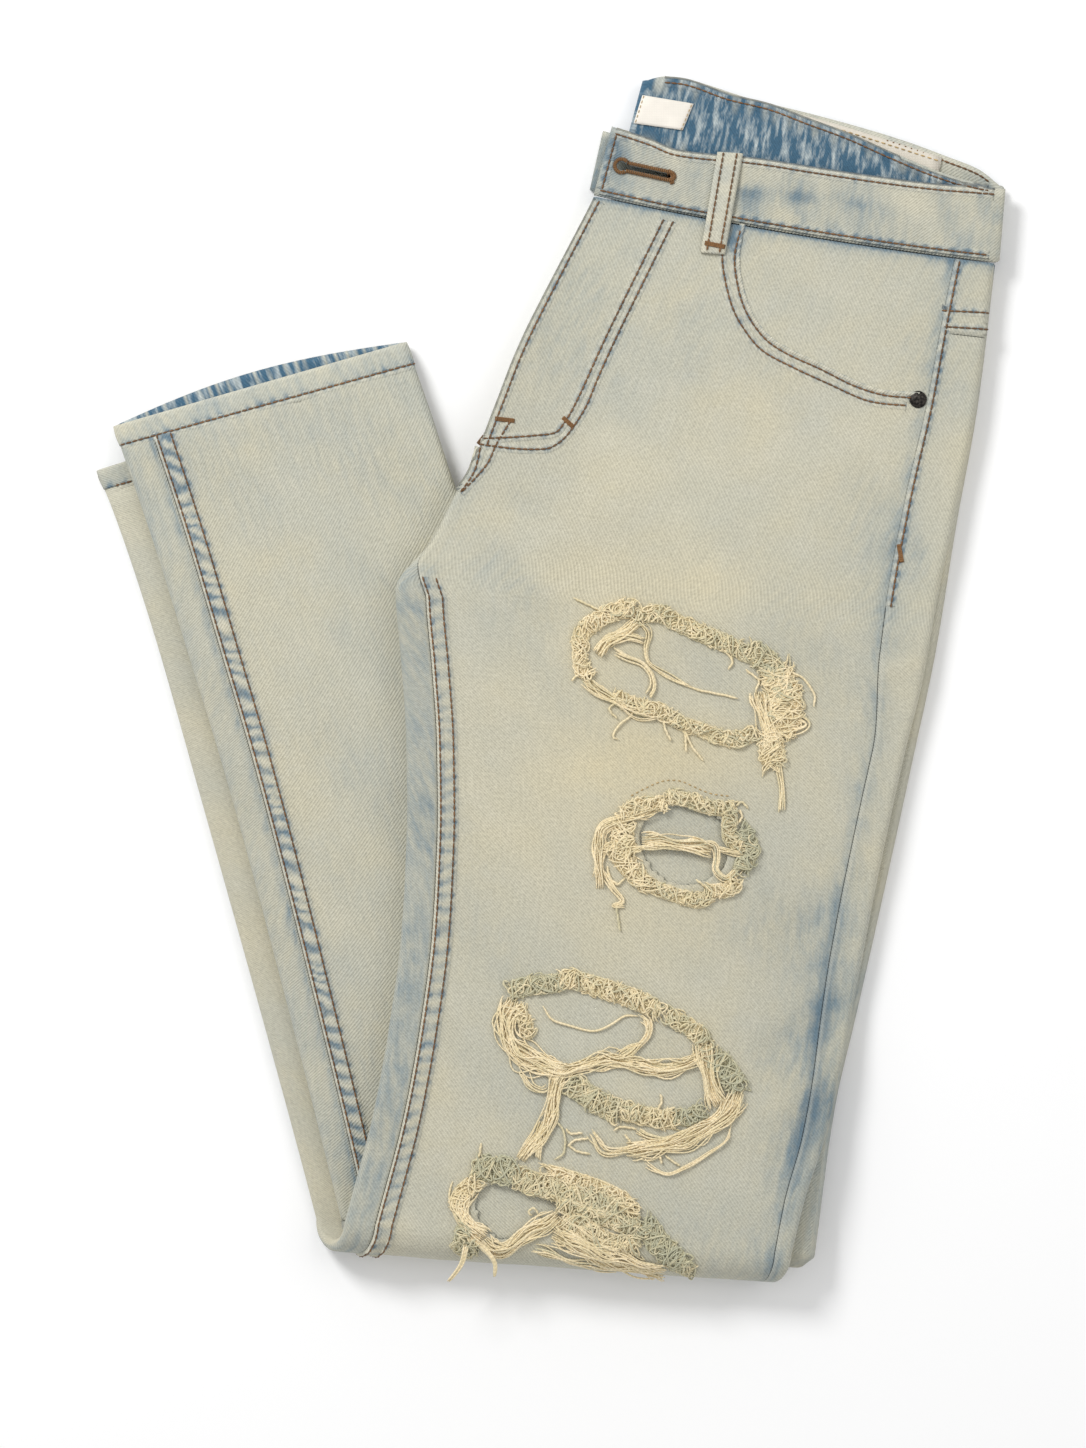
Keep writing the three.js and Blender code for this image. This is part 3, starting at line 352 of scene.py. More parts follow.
class Curve:
    """A smooth curve through given values, which never swings past them."""

    def __init__(self, keys, values):
        self.keys, self.values = np.asarray(keys, float), np.asarray(values, float)
        self.step = np.diff(self.keys)
        slope = np.diff(self.values) / self.step
        tangent = np.zeros_like(self.keys)
        tangent[0], tangent[-1] = slope[0], slope[-1]
        before, after = slope[:-1], slope[1:]
        turning = before * after <= 0
        w1, w2 = 2 * self.step[1:] + self.step[:-1], self.step[1:] + 2 * self.step[:-1]
        safe_before, safe_after = np.where(turning, 1, before), np.where(turning, 1, after)
        tangent[1:-1] = np.where(turning, 0, (w1 + w2) / (w1 / safe_before + w2 / safe_after))
        self.tangent = tangent

    def __call__(self, key):
        key = np.asarray(key, float)
        i = np.clip(np.searchsorted(self.keys, key) - 1, 0, len(self.keys) - 2)
        h = self.step[i]
        t = np.clip((key - self.keys[i]) / h, 0, 1)
        return ((1 + 2 * t) * (1 - t) ** 2 * self.values[i] + t * (1 - t) ** 2 * h * self.tangent[i]
                + t * t * (3 - 2 * t) * self.values[i + 1] + t * t * (t - 1) * h * self.tangent[i + 1])


class Edge:
    """An edge seen from above: x for a height y, and y for a share of its length."""

    def __init__(self, points):
        upward = sorted(points, key=lambda p: p[1])
        self.x = Curve([p[1] for p in upward], [p[0] for p in upward])
        self.first, self.last = points[0][1], points[-1][1]

    def at(self, share):
        """The place at a share of the edge's length."""
        y = self.first + (self.last - self.first) * share
        return self.x(y), y


def soft_noise(x, y, size, seed):
    """Smooth noise from -1 to 1 whose bumps are about size apart."""
    table = np.random.default_rng(seed).uniform(-1, 1, (64, 64))
    u, v = np.asarray(x) / size + 200, np.asarray(y) / size + 200
    i, j = np.floor(u).astype(int), np.floor(v).astype(int)
    a, b = smooth(u - i), smooth(v - j)
    at = lambda k, m: table[(i + k) % 64, (j + m) % 64]
    return ((1 - a) * (1 - b) * at(0, 0) + a * (1 - b) * at(1, 0)
            + (1 - a) * b * at(0, 1) + a * b * at(1, 1))


def lengths(line):
    """How far along a line each of its points lies."""
    return np.concatenate([[0], np.cumsum(np.linalg.norm(np.diff(line, axis=0), axis=1))])


def between(a, b, share):
    """Places at a share of the way from one line to another."""
    return a + (b - a) * share


def spline(points, step):
    """Points a step apart on a smooth line through the given ones."""
    p = np.asarray(points, float)
    if len(p) == 2:
        count = max(2, int(round(np.linalg.norm(p[1] - p[0]) / step)) + 1)
        return between(p[0], p[1], np.linspace(0, 1, count)[:, None])
    q = np.vstack([2 * p[0] - p[1], p, 2 * p[-1] - p[-2]])
    t = np.linspace(0, 1, 24, endpoint=False)[:, None]
    fine = []
    for i in range(len(p) - 1):
        a, b, c, d = q[i:i + 4]
        fine.append(0.5 * (2 * b + (c - a) * t + (2 * a - 5 * b + 4 * c - d) * t ** 2
                           + (3 * b - a - 3 * c + d) * t ** 3))
    return even(np.vstack(fine + [p[-1:]]), step)


def even(line, step):
    """The same line with its points an equal step apart."""
    along = lengths(line)
    count = max(2, int(round(along[-1] / step)) + 1)
    at = np.linspace(0, along[-1], count)
    return np.stack([np.interp(at, along, line[:, k]) for k in range(line.shape[1])], axis=1)


def closed(outline):
    """An outline that ends where it starts."""
    return np.vstack([outline, outline[:1]])


def closed_spline(points, step):
    """Points a step apart on a smooth outline through the given ones."""
    line = spline(points[-2:] + points + points[:2], step / 4)
    away = np.linalg.norm(line - np.array(points[0]), axis=1)
    start = np.argmin(away)
    away[:start + 20] = FAR
    return even(line[start:np.argmin(away) + 1], step)[:-1]


def near_line(x, y, line):
    """Distance from each place to a line, the nearest point on it and the share along it."""
    line = np.asarray(line, float)
    best = np.full(np.shape(x), FAR)
    nearest = np.zeros(np.shape(x) + (2,))
    share = np.zeros(np.shape(x))
    total = len(line) - 1
    for i in range(total):
        a, b = line[i], line[i + 1]
        d = b - a
        t = np.clip(((x - a[0]) * d[0] + (y - a[1]) * d[1]) / max(d @ d, 1e-12), 0, 1)
        px, py = a[0] + t * d[0], a[1] + t * d[1]
        distance = np.hypot(x - px, y - py)
        closer = distance < best
        best = np.where(closer, distance, best)
        nearest[closer] = np.stack([px, py], -1)[closer]
        share = np.where(closer, (i + t) / total, share)
    return best, nearest, share


def inside(x, y, outline):
    """Whether each place lies inside a closed outline."""
    within = np.zeros(np.shape(x), bool)
    for (ax, ay), (bx, by) in zip(outline, np.roll(outline, -1, axis=0)):
        spans = (ay > y) != (by > y)
        if ay != by:
            within ^= spans & (x < (bx - ax) * (y - ay) / (by - ay) + ax)
    return within


# ------------------------------------------------------------------ form of the folded legs
thigh_left, thigh_right = Edge(THIGH_LEFT), Edge(THIGH_RIGHT)
under_thigh_right = Edge(UNDER_THIGH_RIGHT)
upper_calf_left, upper_calf_right = Edge(UPPER_CALF_LEFT), Edge(UPPER_CALF_RIGHT)
lower_calf_left, lower_calf_right = Edge(LOWER_CALF_LEFT), Edge(LOWER_CALF_RIGHT)
outseam_inset = Curve(*zip(*OUTSEAM_INSET))


def thigh_drop(x, y):
    """How far the thighs have come down at a place seen from above: nothing over the calves."""
    beyond = x - upper_calf_right.x(np.minimum(y, UPPER_CALF_RIGHT[-1][1]))
    return THIGH_DROP * smooth(beyond / DROP_WIDTH)


def calf_drop(x, y):
    """How far the right calf has come down past the left leg's hem."""
    left, right = np.array(LOWER_CALF_LEFT[-1]), np.array(LOWER_CALF_RIGHT[-1])
    along = (right - left) / np.linalg.norm(right - left)
    beyond = -(x - left[0]) * along[1] + (y - left[1]) * along[0]
    return CALF_DROP * smooth((beyond - 1) / CALF_DROP_WIDTH)


class Leg:
    """A leg lying flat and folded under at the knee. Stations s run from 0 at the waist to 1 at
    the knee, 2 past the fold and 3 at the hem. Positions p run round the flat leg from the
    middle of its left rolled edge, over the side that its front panel is on."""

    def __init__(self, fold, front_outermost, thigh, calf, drops):
        self.fold, self.front_outermost = fold, front_outermost
        self.thigh, self.calf, self.drops = thigh, calf, drops

    def edges(self, s):
        """The left and right edge of the leg laid flat, seen from above."""
        weight = (1 - np.cos(np.pi * np.clip(s - 1, 0, 1))) / 2
        ends = []
        for thigh, calf in zip(self.thigh, self.calf):
            tx, ty = thigh.at(np.clip(s, 0, 1))
            cx, cy = calf.at(np.clip(s - 2, 0, 1))
            ends.append((tx + (cx - tx) * weight, ty + (cy - ty) * weight))
        return ends

    def width(self, s):
        """From edge to edge."""
        (lx, ly), (rx, ry) = self.edges(s)
        return np.hypot(rx - lx, ry - ly)

    def half(self, s):
        """Half the way round the leg, along the cloth."""
        return self.width(s) - LEG + 2 * ARC

    def place(self, s, inset, n):
        """The point an inset from the left edge and n above the inside of the fold."""
        (lx, ly), (rx, ry) = self.edges(s)
        width = np.hypot(rx - lx, ry - ly)
        f = inset / width
        t = np.clip(s, 0, 1)
        x = lx + (rx - lx) * f
        y = ly + (ry - ly) * f - WAIST_BOW * 4 * f * (1 - f) * smooth(1 - t / WAIST_BOW_END)
        angle = np.pi * np.clip(s - 1, 0, 1)
        radius = self.fold + n
        reach = radius * np.sin(angle)
        z = FOLD_AXIS + radius * np.cos(angle) - thigh_drop(x, y) * (1 + np.cos(angle)) / 2
        if self.drops:
            z = z - calf_drop(x, y) * (1 - np.cos(angle)) / 2
        return np.stack([x + (ry - ly) / width * reach, y - (rx - lx) / width * reach, z], -1)

    def ring(self, s, p, depth):
        """Points of the leg's cloth, moved in from its outer side by a depth, and how far each
        faces away from the middle of the leg, towards the front panel's side."""
        width, half = self.width(s), self.half(s)
        q = np.mod(p, 2 * half)
        back = q > half
        q = np.where(back, 2 * half - q, q)
        left, right = q < ARC, q > half - ARC
        a = np.where(left, q, np.where(right, half - q, ARC)) / ARC * np.pi / 2
        sideways = np.where(left, -1, 1) * np.cos(a)
        inset = np.where(left, LEG / 2 * (1 - np.cos(a)),
                         np.where(right, width - LEG / 2 * (1 - np.cos(a)), LEG / 2 + q - ARC))
        up = np.where(back, -1, 1) * np.sin(a)
        n = LEG / 2 + up * LEG / 2 - up * depth
        if not self.front_outermost:
            n = LEG - n
        return self.place(s, inset - sideways * depth, n), up

    def cloth(self, s, p, depth, relief=None):
        """A grid of the cloth with its relief, which stands out from the leg on the front side."""
        base, up = self.ring(s, p, 0.0)
        lift = 0 if relief is None else relief(base[..., 0], base[..., 1], s, p) * smooth(up)
        return self.ring(s, p, depth - lift)[0]


LEFT = Leg(OUTER_FOLD, True, (thigh_left, thigh_right), (lower_calf_left, lower_calf_right), False)
RIGHT = Leg(INNER_FOLD, False, (thigh_left, under_thigh_right), (upper_calf_left, upper_calf_right),
            True)


def inseam(s):
    """Where the inseam runs, as a position on the ring. Above the crotch it is on the roll."""
    t = np.clip(s, 0, 1)
    thigh = SEAM_ON_ROLL + (INSEAM_INSET + 2 - SEAM_ON_ROLL) * smooth((t - CROTCH) / (CORNER - CROTCH))
    bend = (KNEE_INSEAM_INSET - INSEAM_INSET) * np.clip(s - 1, 0, 1)
    return thigh + bend + (HEM_INSEAM_INSET - KNEE_INSEAM_INSET) * np.clip(s - 2, 0, 1)


def outseam(s):
    """Where the outseam runs, measured along the ring from the middle of the right edge."""
    t = np.clip(s - 2, 0, 1)
    thigh = outseam_inset(np.clip(s, 0, 1)) + 2
    return np.where(s <= 2, thigh, 11 + (SEAM_ON_ROLL - 11) * smooth(3 * t))


def along_leg(s):
    """How far a station lies from the waist, along the cloth."""
    return (THIGH_LENGTH * np.clip(s, 0, 1) + math.pi * FOLD_AXIS * np.clip(s - 1, 0, 1)
            + CALF_LENGTH * np.clip(s - 2, 0, 1))


def fell_wave(s, p):
    """Slanting puckers of a felled seam, from -1 to 1."""
    slant, v = (p - inseam(s)) / 28, along_leg(s)
    return np.sin((v / 8 + slant + 0.7 * soft_noise(v, p, 19, 6)) * 2 * np.pi)


def crease(x, y, start, end, half_width, height):
    """A ridge between two places, which dies away at both ends."""
    distance, _, share = near_line(x, y, [start, end])
    fade = smooth(share * 4) * smooth((1 - share) * 4)
    return height * fade * bell(distance, half_width)


def felled(band):
    """Where a felled seam stands up, from 0 to 1, by the distance from its inner edge."""
    return smooth(band / 0.7) * smooth((FELL_WIDTH + 3.4 - band) / 1.6)


def left_relief(x, y, s, p):
    """Creases and ripples of the left thigh's upper side."""
    lift = sum(crease(x, y, *line) for line in CREASES)
    lift = lift + 0.5 * soft_noise(x + 0.3 * y, y * 0.45, 38, 3)
    lift = lift + 0.3 * soft_noise(x + 0.25 * y, y * 0.35, 15, 4)
    seam = felled(p - inseam(s)) * smooth((s - CROTCH) / 0.03)
    lift = lift + seam * (1.0 + 0.22 * fell_wave(s, p))
    lift = lift * smooth(s / 0.06)
    for rip in RIPS.values():
        line = closed(rip["opening"])
        near = np.abs(x - line[:, 0].mean()) + np.abs(y - line[:, 1].mean()) < 160
        if near.any():
            away = np.full(np.shape(x), FAR)
            away[near] = near_line(x[near], y[near], line)[0]
            lift = lift + 0.3 * bell(away, 7)
    return lift * smooth((1.9 - s) / 0.5)


def right_relief(x, y, s, p):
    """Puckers beside the right calf's felled inseam, and soft ripples."""
    band = p - inseam(s)
    lift = felled(band) * 1.1 + 0.32 * fell_wave(s, p) * bell(band - 5, 8)
    lift = lift + 0.6 * soft_noise(x + 0.5 * y, y * 0.4, 30, 7) + 0.3 * soft_noise(x, y * 0.7, 13, 8)
    return lift * smooth((3 - s) * CALF_LENGTH / 25)


def top_height(x, y):
    """Height of the left thigh's upper side, with its relief, at a place seen from above."""
    (lx, ly), (rx, ry) = LEFT.edges(np.float64(1))
    along = np.array([rx - lx, ry - ly]) / np.hypot(rx - lx, ry - ly)
    beyond = (x - lx) * along[1] - (y - ly) * along[0]
    outer = OUTER_FOLD + LEG
    level = np.where(beyond > 0, np.sqrt(np.maximum(outer ** 2 - beyond ** 2, 0)), outer)
    flat = FOLD_AXIS + level - thigh_drop(x, y)
    s = np.full(np.shape(x), 0.7)
    return flat + left_relief(x, y, s, np.full(np.shape(x), 120.0)) * smooth(1 - beyond / 12)


# ------------------------------------------------------------------ meshes
def shell(outer, inner, flat, casts, keep=None, ring=False):
    """A closed wall between two grids of points: its points, faces, flat places and casts. The
    casts are given for its outer and its inner side."""
    rows, columns = outer.shape[:2]
    count = rows * columns
    index = np.arange(count).reshape(rows, columns)
    if ring:
        index = np.concatenate([index, index[:, :1]], axis=1)
    quads = np.stack([index[:-1, :-1], index[:-1, 1:], index[1:, 1:], index[1:, :-1]], -1)
    quads = quads.reshape(-1, 4) if keep is None else quads[keep]
    start = quads.reshape(-1)
    end = np.roll(quads, -1, axis=1).reshape(-1)
    rim = ~np.isin(start * count + end, end * count + start)
    a, b = start[rim], end[rim]
    walls = np.stack([b, a, a + count, b + count], -1)
    faces = np.vstack([quads, quads[:, ::-1] + count, walls])
    used, faces = np.unique(faces, return_inverse=True)
    faces = faces.reshape(-1, 4)
    points, cloth, cast = (np.vstack([side.reshape(count, -1) for side in sides])[used]
                           for sides in ((outer, inner), (flat, flat), casts))
    a, b, c, d = (points[faces[:, k]] for k in range(4))
    volume = np.einsum("ij,ij->i", a, np.cross(b, c)) + np.einsum("ij,ij->i", a, np.cross(c, d))
    return points, faces[:, ::-1] if volume.sum() < 0 else faces, cloth, cast


PANEL_SNAP, BAND_SNAP = 1.25, 1.6  # how far points are drawn onto the edge of a hole


def cut_hole(grids, outline, reach, allowed):
    """Draws the points near an outline onto it, and says which faces stay. Only points that are
    allowed move or go."""
    x, y = grids[0][..., 0], grids[0][..., 1]
    distance, nearest, _ = near_line(x, y, closed(outline))
    snap = (distance < reach) & allowed
    gone = (inside(x, y, outline) & allowed) | snap
    for grid in grids:
        grid[..., :2] = np.where(snap[..., None], nearest, grid[..., :2])
    return ~(gone[:-1, :-1] & gone[:-1, 1:] & gone[1:, 1:] & gone[1:, :-1])


def piece(name, parts, material):
    """Makes an object that rides on the body, from points in millimetres, faces, flat places and
    casts."""
    points, faces, cloth, cast = parts
    mesh = bpy.data.meshes.new(name)
    mesh.from_pydata((points * MM).tolist(), [], [[int(i) for i in face] for face in faces])
    mesh.polygons.foreach_set("use_smooth", [True] * len(mesh.polygons))
    flat = np.zeros((len(points), 3))
    flat[:, :2] = cloth * MM
    layer = mesh.attributes.new("cloth", "FLOAT_VECTOR", "POINT")
    layer.data.foreach_set("vector", flat.ravel())
    layer = mesh.attributes.new("cast", "FLOAT_COLOR", "POINT")
    layer.data.foreach_set("color", cast.ravel())
    mesh.update()
    mesh.materials.append(material)
    made = bpy.data.objects.new(name, mesh)
    bpy.context.scene.collection.objects.link(made)
    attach(made, BODY)
    return made


class Surface:
    """The surfaces of some pieces, for laying lines on them from above."""

    def __init__(self, *names):
        points, faces, casts, cloths = [], [], [], []
        for name in names:
            mesh = bpy.data.objects[name].data
            base, count = len(points), len(mesh.vertices)
            points += [v.co.copy() for v in mesh.vertices]
            faces += [[base + i for i in f.vertices] for f in mesh.polygons]
            cast, cloth = np.zeros(count * 4), np.zeros(count * 3)
            mesh.attributes["cast"].data.foreach_get("color", cast)
            mesh.attributes["cloth"].data.foreach_get("vector", cloth)
            casts.append(cast.reshape(-1, 4))
            cloths.append(cloth.reshape(-1, 3)[:, :2] / MM)
        self.tree = BVHTree.FromPolygons(points, faces)
        self.points = np.array(points) / MM
        self.faces = faces
        self.cast, self.cloth = np.vstack(casts), np.vstack(cloths)

    def lay(self, line, fallback=10.0):
        """Points, normals, cast and flat places of a line laid on the surface, in millimetres."""
        points, normals, cast, cloth = [], [], [], []
        last = (fallback, (0, 0, 1), np.zeros(4), np.zeros(2))
        for x, y in line:
            hit, normal, face, _ = self.tree.ray_cast(Vector((x * MM, y * MM, 0.1)), Vector((0, 0, -1)))
            if hit is not None:
                corners = self.faces[face]
                weight = 1 / (0.05 + np.linalg.norm(self.points[corners] - np.array(hit) / MM, axis=1))
                weight = (weight / weight.sum())[:, None]
                last = (hit.z / MM, tuple(normal), (self.cast[corners] * weight).sum(0),
                        (self.cloth[corners] * weight).sum(0))
            points.append((x, y, last[0]))
            normals.append(last[1])
            cast.append(last[2])
            cloth.append(last[3])
        return np.array(points), np.array(normals), np.array(cast), np.array(cloth)


SPINDLE = [(-0.5, 0.35, -0.15), (-0.3, 0.85, 0.3), (0, 1, 0.5), (0.3, 0.85, 0.3), (0.5, 0.35, -0.15)]


def welt(rows, profile, pucker=0.0, pitch=6.5):
    """A low ridge of pressed cloth along a seam. Rows are lines laid side by side, each with its
    normals, cast and flat places; the profile gives each row's height, blue and worn. The blue
    is indigo and painted shade: it is strongest in the groove where the stitches lie, and in the
    troughs of the puckers."""
    height = np.array([h for h, _, _ in profile])
    points, normals, cast, cloth = (np.stack([row[k] for row in rows], 1) for k in range(4))
    normals = normals / np.linalg.norm(normals, axis=2, keepdims=True)
    along = lengths(points[:, 0])[:, None]
    wave = np.sin(along * 2 * np.pi / pitch + 2.2 * soft_noise(along, np.arange(len(rows))[None], 9, 71))
    lift = height[None] * (1 + pucker * wave) * smooth(np.minimum(along, along[-1] - along) / 2)
    outer = points + normals * lift[..., None]
    inner = points - normals * 0.8
    tint = cast.copy()
    # Painted shade: bluer in the groove and in the pucker troughs.
    tint[..., 0] = np.clip(tint[..., 0] + np.array([b for _, b, _ in profile]) * (0.8 - 0.5 * wave), 0, 1)
    tint[..., 2] = np.clip(tint[..., 2] + np.array([w for _, _, w in profile]) * (0.7 + 0.6 * wave), 0, 1)
    return shell(outer, inner, cloth, (tint, tint))


def joined(name, shells, material):
    """One piece of several closed shells."""
    starts = np.cumsum([0] + [len(parts[0]) for parts in shells])
    faces = np.vstack([parts[1] + start for parts, start in zip(shells, starts)])
    points, cloth, cast = (np.vstack([parts[k] for parts in shells]) for k in (0, 2, 3))
    return piece(name, (points, faces, cloth, cast), material)


def stitches(points, normals, pitch, length, width):
    """A row of stitches along a draped line: short fat threads that dip at their ends."""
    points, normals = np.asarray(points), np.asarray(normals)
    along = lengths(points)
    middles = np.arange(pitch / 2, along[-1], pitch)
    if not len(middles):
        return []
    sample = lambda values, at: np.stack([np.interp(at, along, values[:, k]) for k in range(3)], -1)
    paths, widths = [], []
    for share, fat, rise in SPINDLE:
        at = np.clip(middles + share * length, 0, along[-1])
        paths.append(sample(points, at) + sample(normals, at) * rise * width)
        widths.append(np.full(len(middles), fat * width / 2))
    return [(np.stack(paths, 1), np.stack(widths, 1))]


def tubes(paths, radii, sides):
    """Closed tubes along several paths that have the same number of points."""
    tangent = np.gradient(paths, axis=1)
    tangent /= np.maximum(np.linalg.norm(tangent, axis=2, keepdims=True), 1e-9)
    side = np.cross(tangent, [0, 0, 1.0])
    length = np.linalg.norm(side, axis=2, keepdims=True)
    side = np.where(length > 0.05, side / np.maximum(length, 1e-9), [1.0, 0, 0])
    up = np.cross(side, tangent)
    angle = np.arange(sides) / sides * 2 * np.pi
    ring = side[:, :, None] * np.cos(angle)[:, None] + up[:, :, None] * np.sin(angle)[:, None]
    points = paths[:, :, None] + ring * radii[:, :, None, None]
    k, n = paths.shape[:2]
    index = np.arange(k * n * sides).reshape(k, n, sides)
    after = np.roll(index, -1, axis=2)
    quads = np.stack([index[:, :-1], after[:, :-1], after[:, 1:], index[:, 1:]], -1).reshape(-1, 4)
    caps = np.vstack([index[:, 0, ::-1], index[:, -1]])
    return points.reshape(-1, 3), quads, caps


def tube_piece(name, groups, sides, material, tones=None):
    """One piece of many tubes. Groups are (paths, radii); tones give each tube its cast."""
    points, faces, cast, cloth, base = [], [], [], [], 0
    for g, (paths, radii) in enumerate(groups):
        p, quads, caps = tubes(paths, radii, sides)
        points.append(p)
        faces += (quads + base).tolist() + (caps + base).tolist()
        base += len(p)
        k, n = paths.shape[:2]
        tone = np.zeros((k, 4)) if tones is None else tones[g]
        cast.append(np.repeat(tone, n * sides, axis=0))
        step = np.linalg.norm(np.diff(paths, axis=1), axis=2)
        along = np.cumsum(np.concatenate([np.zeros((k, 1)), step], axis=1), axis=1)
        around = np.tile(np.arange(sides) / sides, k * n)
        cloth.append(np.stack([around, np.repeat(along.ravel(), sides)], -1))
    return piece(name, (np.vstack(points), faces, np.vstack(cloth), np.vstack(cast)), material)


# ------------------------------------------------------------------ materials
def linear(colour):
    """The linear red, green and blue of an sRGB hex colour."""
    parts = [int(colour[i:i + 2], 16) / 255 for i in (1, 3, 5)]
    return tuple(c / 12.92 if c <= 0.04045 else ((c + 0.055) / 1.055) ** 2.4 for c in parts)


def rgba(colour):
    """A colour as a shader's socket takes it."""
    return (*colour[:3], 1.0)


def node(tree, kind, links=(), out=0, **settings):
    """Adds a node with its settings, and gives one of its outputs. Links feed its sockets with
    values or outputs, in order or by name."""
    made = tree.nodes.new("ShaderNode" + kind)
    for key, value in settings.items():
        setattr(made, key, value)
    for socket, value in links.items() if isinstance(links, dict) else enumerate(links):
        if isinstance(value, bpy.types.NodeSocket):
            tree.links.new(value, made.inputs[socket])
        else:
            made.inputs[socket].default_value = value
    return made.outputs[out] if made.outputs else None


def material_of(name, build):
    """The material of a name. The first time, build lays out the nodes that feed its shader."""
    material = bpy.data.materials.get(name)
    if not material:
        material = bpy.data.materials.new(name)
        material.use_nodes = True
        tree = material.node_tree
        tree.nodes.clear()
        node(tree, "OutputMaterial", (node(tree, "BsdfPrincipled", build(tree)),))
    return material


def layers(tree, colour, over):
    """A colour with others laid over it, each as (share, colour)."""
    for share, other in over:
        colour = node(tree, "Mix", {0: share, 6: colour, 7: other}, 2, data_type="RGBA")
    return colour


def wave(tree, value, period):
    """A wave from 0 to 1 along a value."""
    turns = node(tree, "Math", (value, 2 * math.pi / period), operation="MULTIPLY")
    sine = node(tree, "Math", (turns,), operation="SINE")
    return node(tree, "Math", (sine, 0.5, 0.5), operation="MULTIPLY_ADD")


def worked(tree, colour, shade, height, strength, depth):
    """What a colour times a shade, and a relief, feed to a shader."""
    return {
        "Base Color": node(tree, "Mix", {0: 1.0, 6: colour, 7: shade}, 2, data_type="RGBA",
                           blend_type="MULTIPLY"),
        "Normal": node(tree, "Bump", {"Strength": strength, "Distance": depth, "Height": height}),
    }


def washed_denim():
    """Cotton twill, indigo dyed, then stone washed and bleached nearly white. To the eye it is
    matt, with the diagonal of the twill, drifts of beige and grey, and blue left in the seams.
    The blue of the cast also carries painted shade in seam grooves, crease troughs and ripples,
    and painted shadow lines, which turn deep indigo where the blue is strongest.
    The inside keeps its indigo, with pale streaks of bleach. The real twill has 0.7 mm between
    its lines, and is drawn at the cloth's set pitch so that it shows."""
    look = bpy.context.scene.jeans_cloth

    def build(tree):
        flat = node(tree, "Attribute", (), "Vector", attribute_name="cloth")
        cast = node(tree, "Attribute", (), "Color", attribute_name="cast")
        reverse = cast.node.outputs["Alpha"]
        blue = node(tree, "SeparateColor", (cast,))
        stain, worn = blue.node.outputs[1], blue.node.outputs[2]
        across = node(tree, "SeparateXYZ", (flat,))
        drift, patchy, speckle = (
            node(tree, "TexNoise", {"Vector": flat, "Scale": 1 / size, "Detail": detail,
                                    "Roughness": rough})
            for size, detail, rough in ((0.060, 3.0, 0.55), (0.016, 4.0, 0.6), (0.0016, 2.0, 0.6)))
        slub, streaks = (
            node(tree, "TexNoise", {"Vector": node(tree, "Mapping", {"Vector": flat, "Scale": scale}),
                                    "Scale": 1.0, "Detail": detail, "Roughness": rough})
            for scale, detail, rough in (((700.0, 60.0, 1.0), 2.0, 0.5), ((290.0, 70.0, 1.0), 3.0, 0.6)))
        wobble = node(tree, "Math", (patchy, 0.5), operation="SUBTRACT")
        slant = node(tree, "Math", (across.node.outputs[1], across), operation="SUBTRACT")
        diagonal = node(tree, "Math", (wobble, 0.0011, slant), operation="MULTIPLY_ADD")
        twill = wave(tree, diagonal, look.twill_pitch * math.sqrt(2))

        blotches = node(tree, "MapRange", (patchy, 0.2, 0.7, 0.5, 1.0))
        patches = node(tree, "MapRange", (patchy, 0.3, 0.65, 0.6, 1.2))
        streaky = node(tree, "MapRange", (streaks, 0.35, 0.65, 0.55, 1.3))
        tint = node(tree, "Math", (blue, patches), operation="MULTIPLY")
        within = layers(tree, rgba(look.inside), [
            (node(tree, "MapRange", (streaks, 0.46, 0.72)), rgba(look.inside_pale))])
        colour = layers(tree, rgba(look.grey), [
            (node(tree, "MapRange", (drift, 0.35, 0.65)), rgba(look.beige)),
            (node(tree, "MapRange", (patchy, 0.45, 0.75, 0.0, 0.45)), rgba(look.pale)),
            (node(tree, "Math", (stain, blotches), operation="MULTIPLY"), rgba(look.stain)),
            # The blue cast is indigo and painted shade; where it is strongest it turns deep indigo, which
            # draws the painted shadow lines along seams, under the waistband and in the pocket mouth.
            (node(tree, "Math", (tint, streaky), operation="MULTIPLY"), rgba(look.blue)),
            (node(tree, "MapRange", (blue, 0.6, 1.0, 0.0, 0.6)), rgba(look.inside)),
            (worn, rgba(look.worn)),
            (reverse, within),
        ])
        shade = node(tree, "Math", (twill, 0.15, 0.905), operation="MULTIPLY_ADD")
        for value, low, high in ((speckle, 0.88, 1.09), (slub, 0.97, 1.02)):
            uneven = node(tree, "MapRange", (value, 0.3, 0.7, low, high))
            shade = node(tree, "Math", (shade, uneven), operation="MULTIPLY")
        fuzz = node(tree, "Math", (speckle, 0.9), operation="MULTIPLY")
        height = node(tree, "Math", (twill, 0.5, fuzz), operation="MULTIPLY_ADD")
        return worked(tree, colour, shade, height, 0.8, 0.0005) | {
            "Roughness": node(tree, "MapRange", (speckle, 0.3, 0.7, 0.86, 0.97)),
            "Sheen Weight": 0.12, "Sheen Roughness": 0.6, "Specular IOR Level": 0.25}

    return material_of("washed_denim_cotton_twill", build)


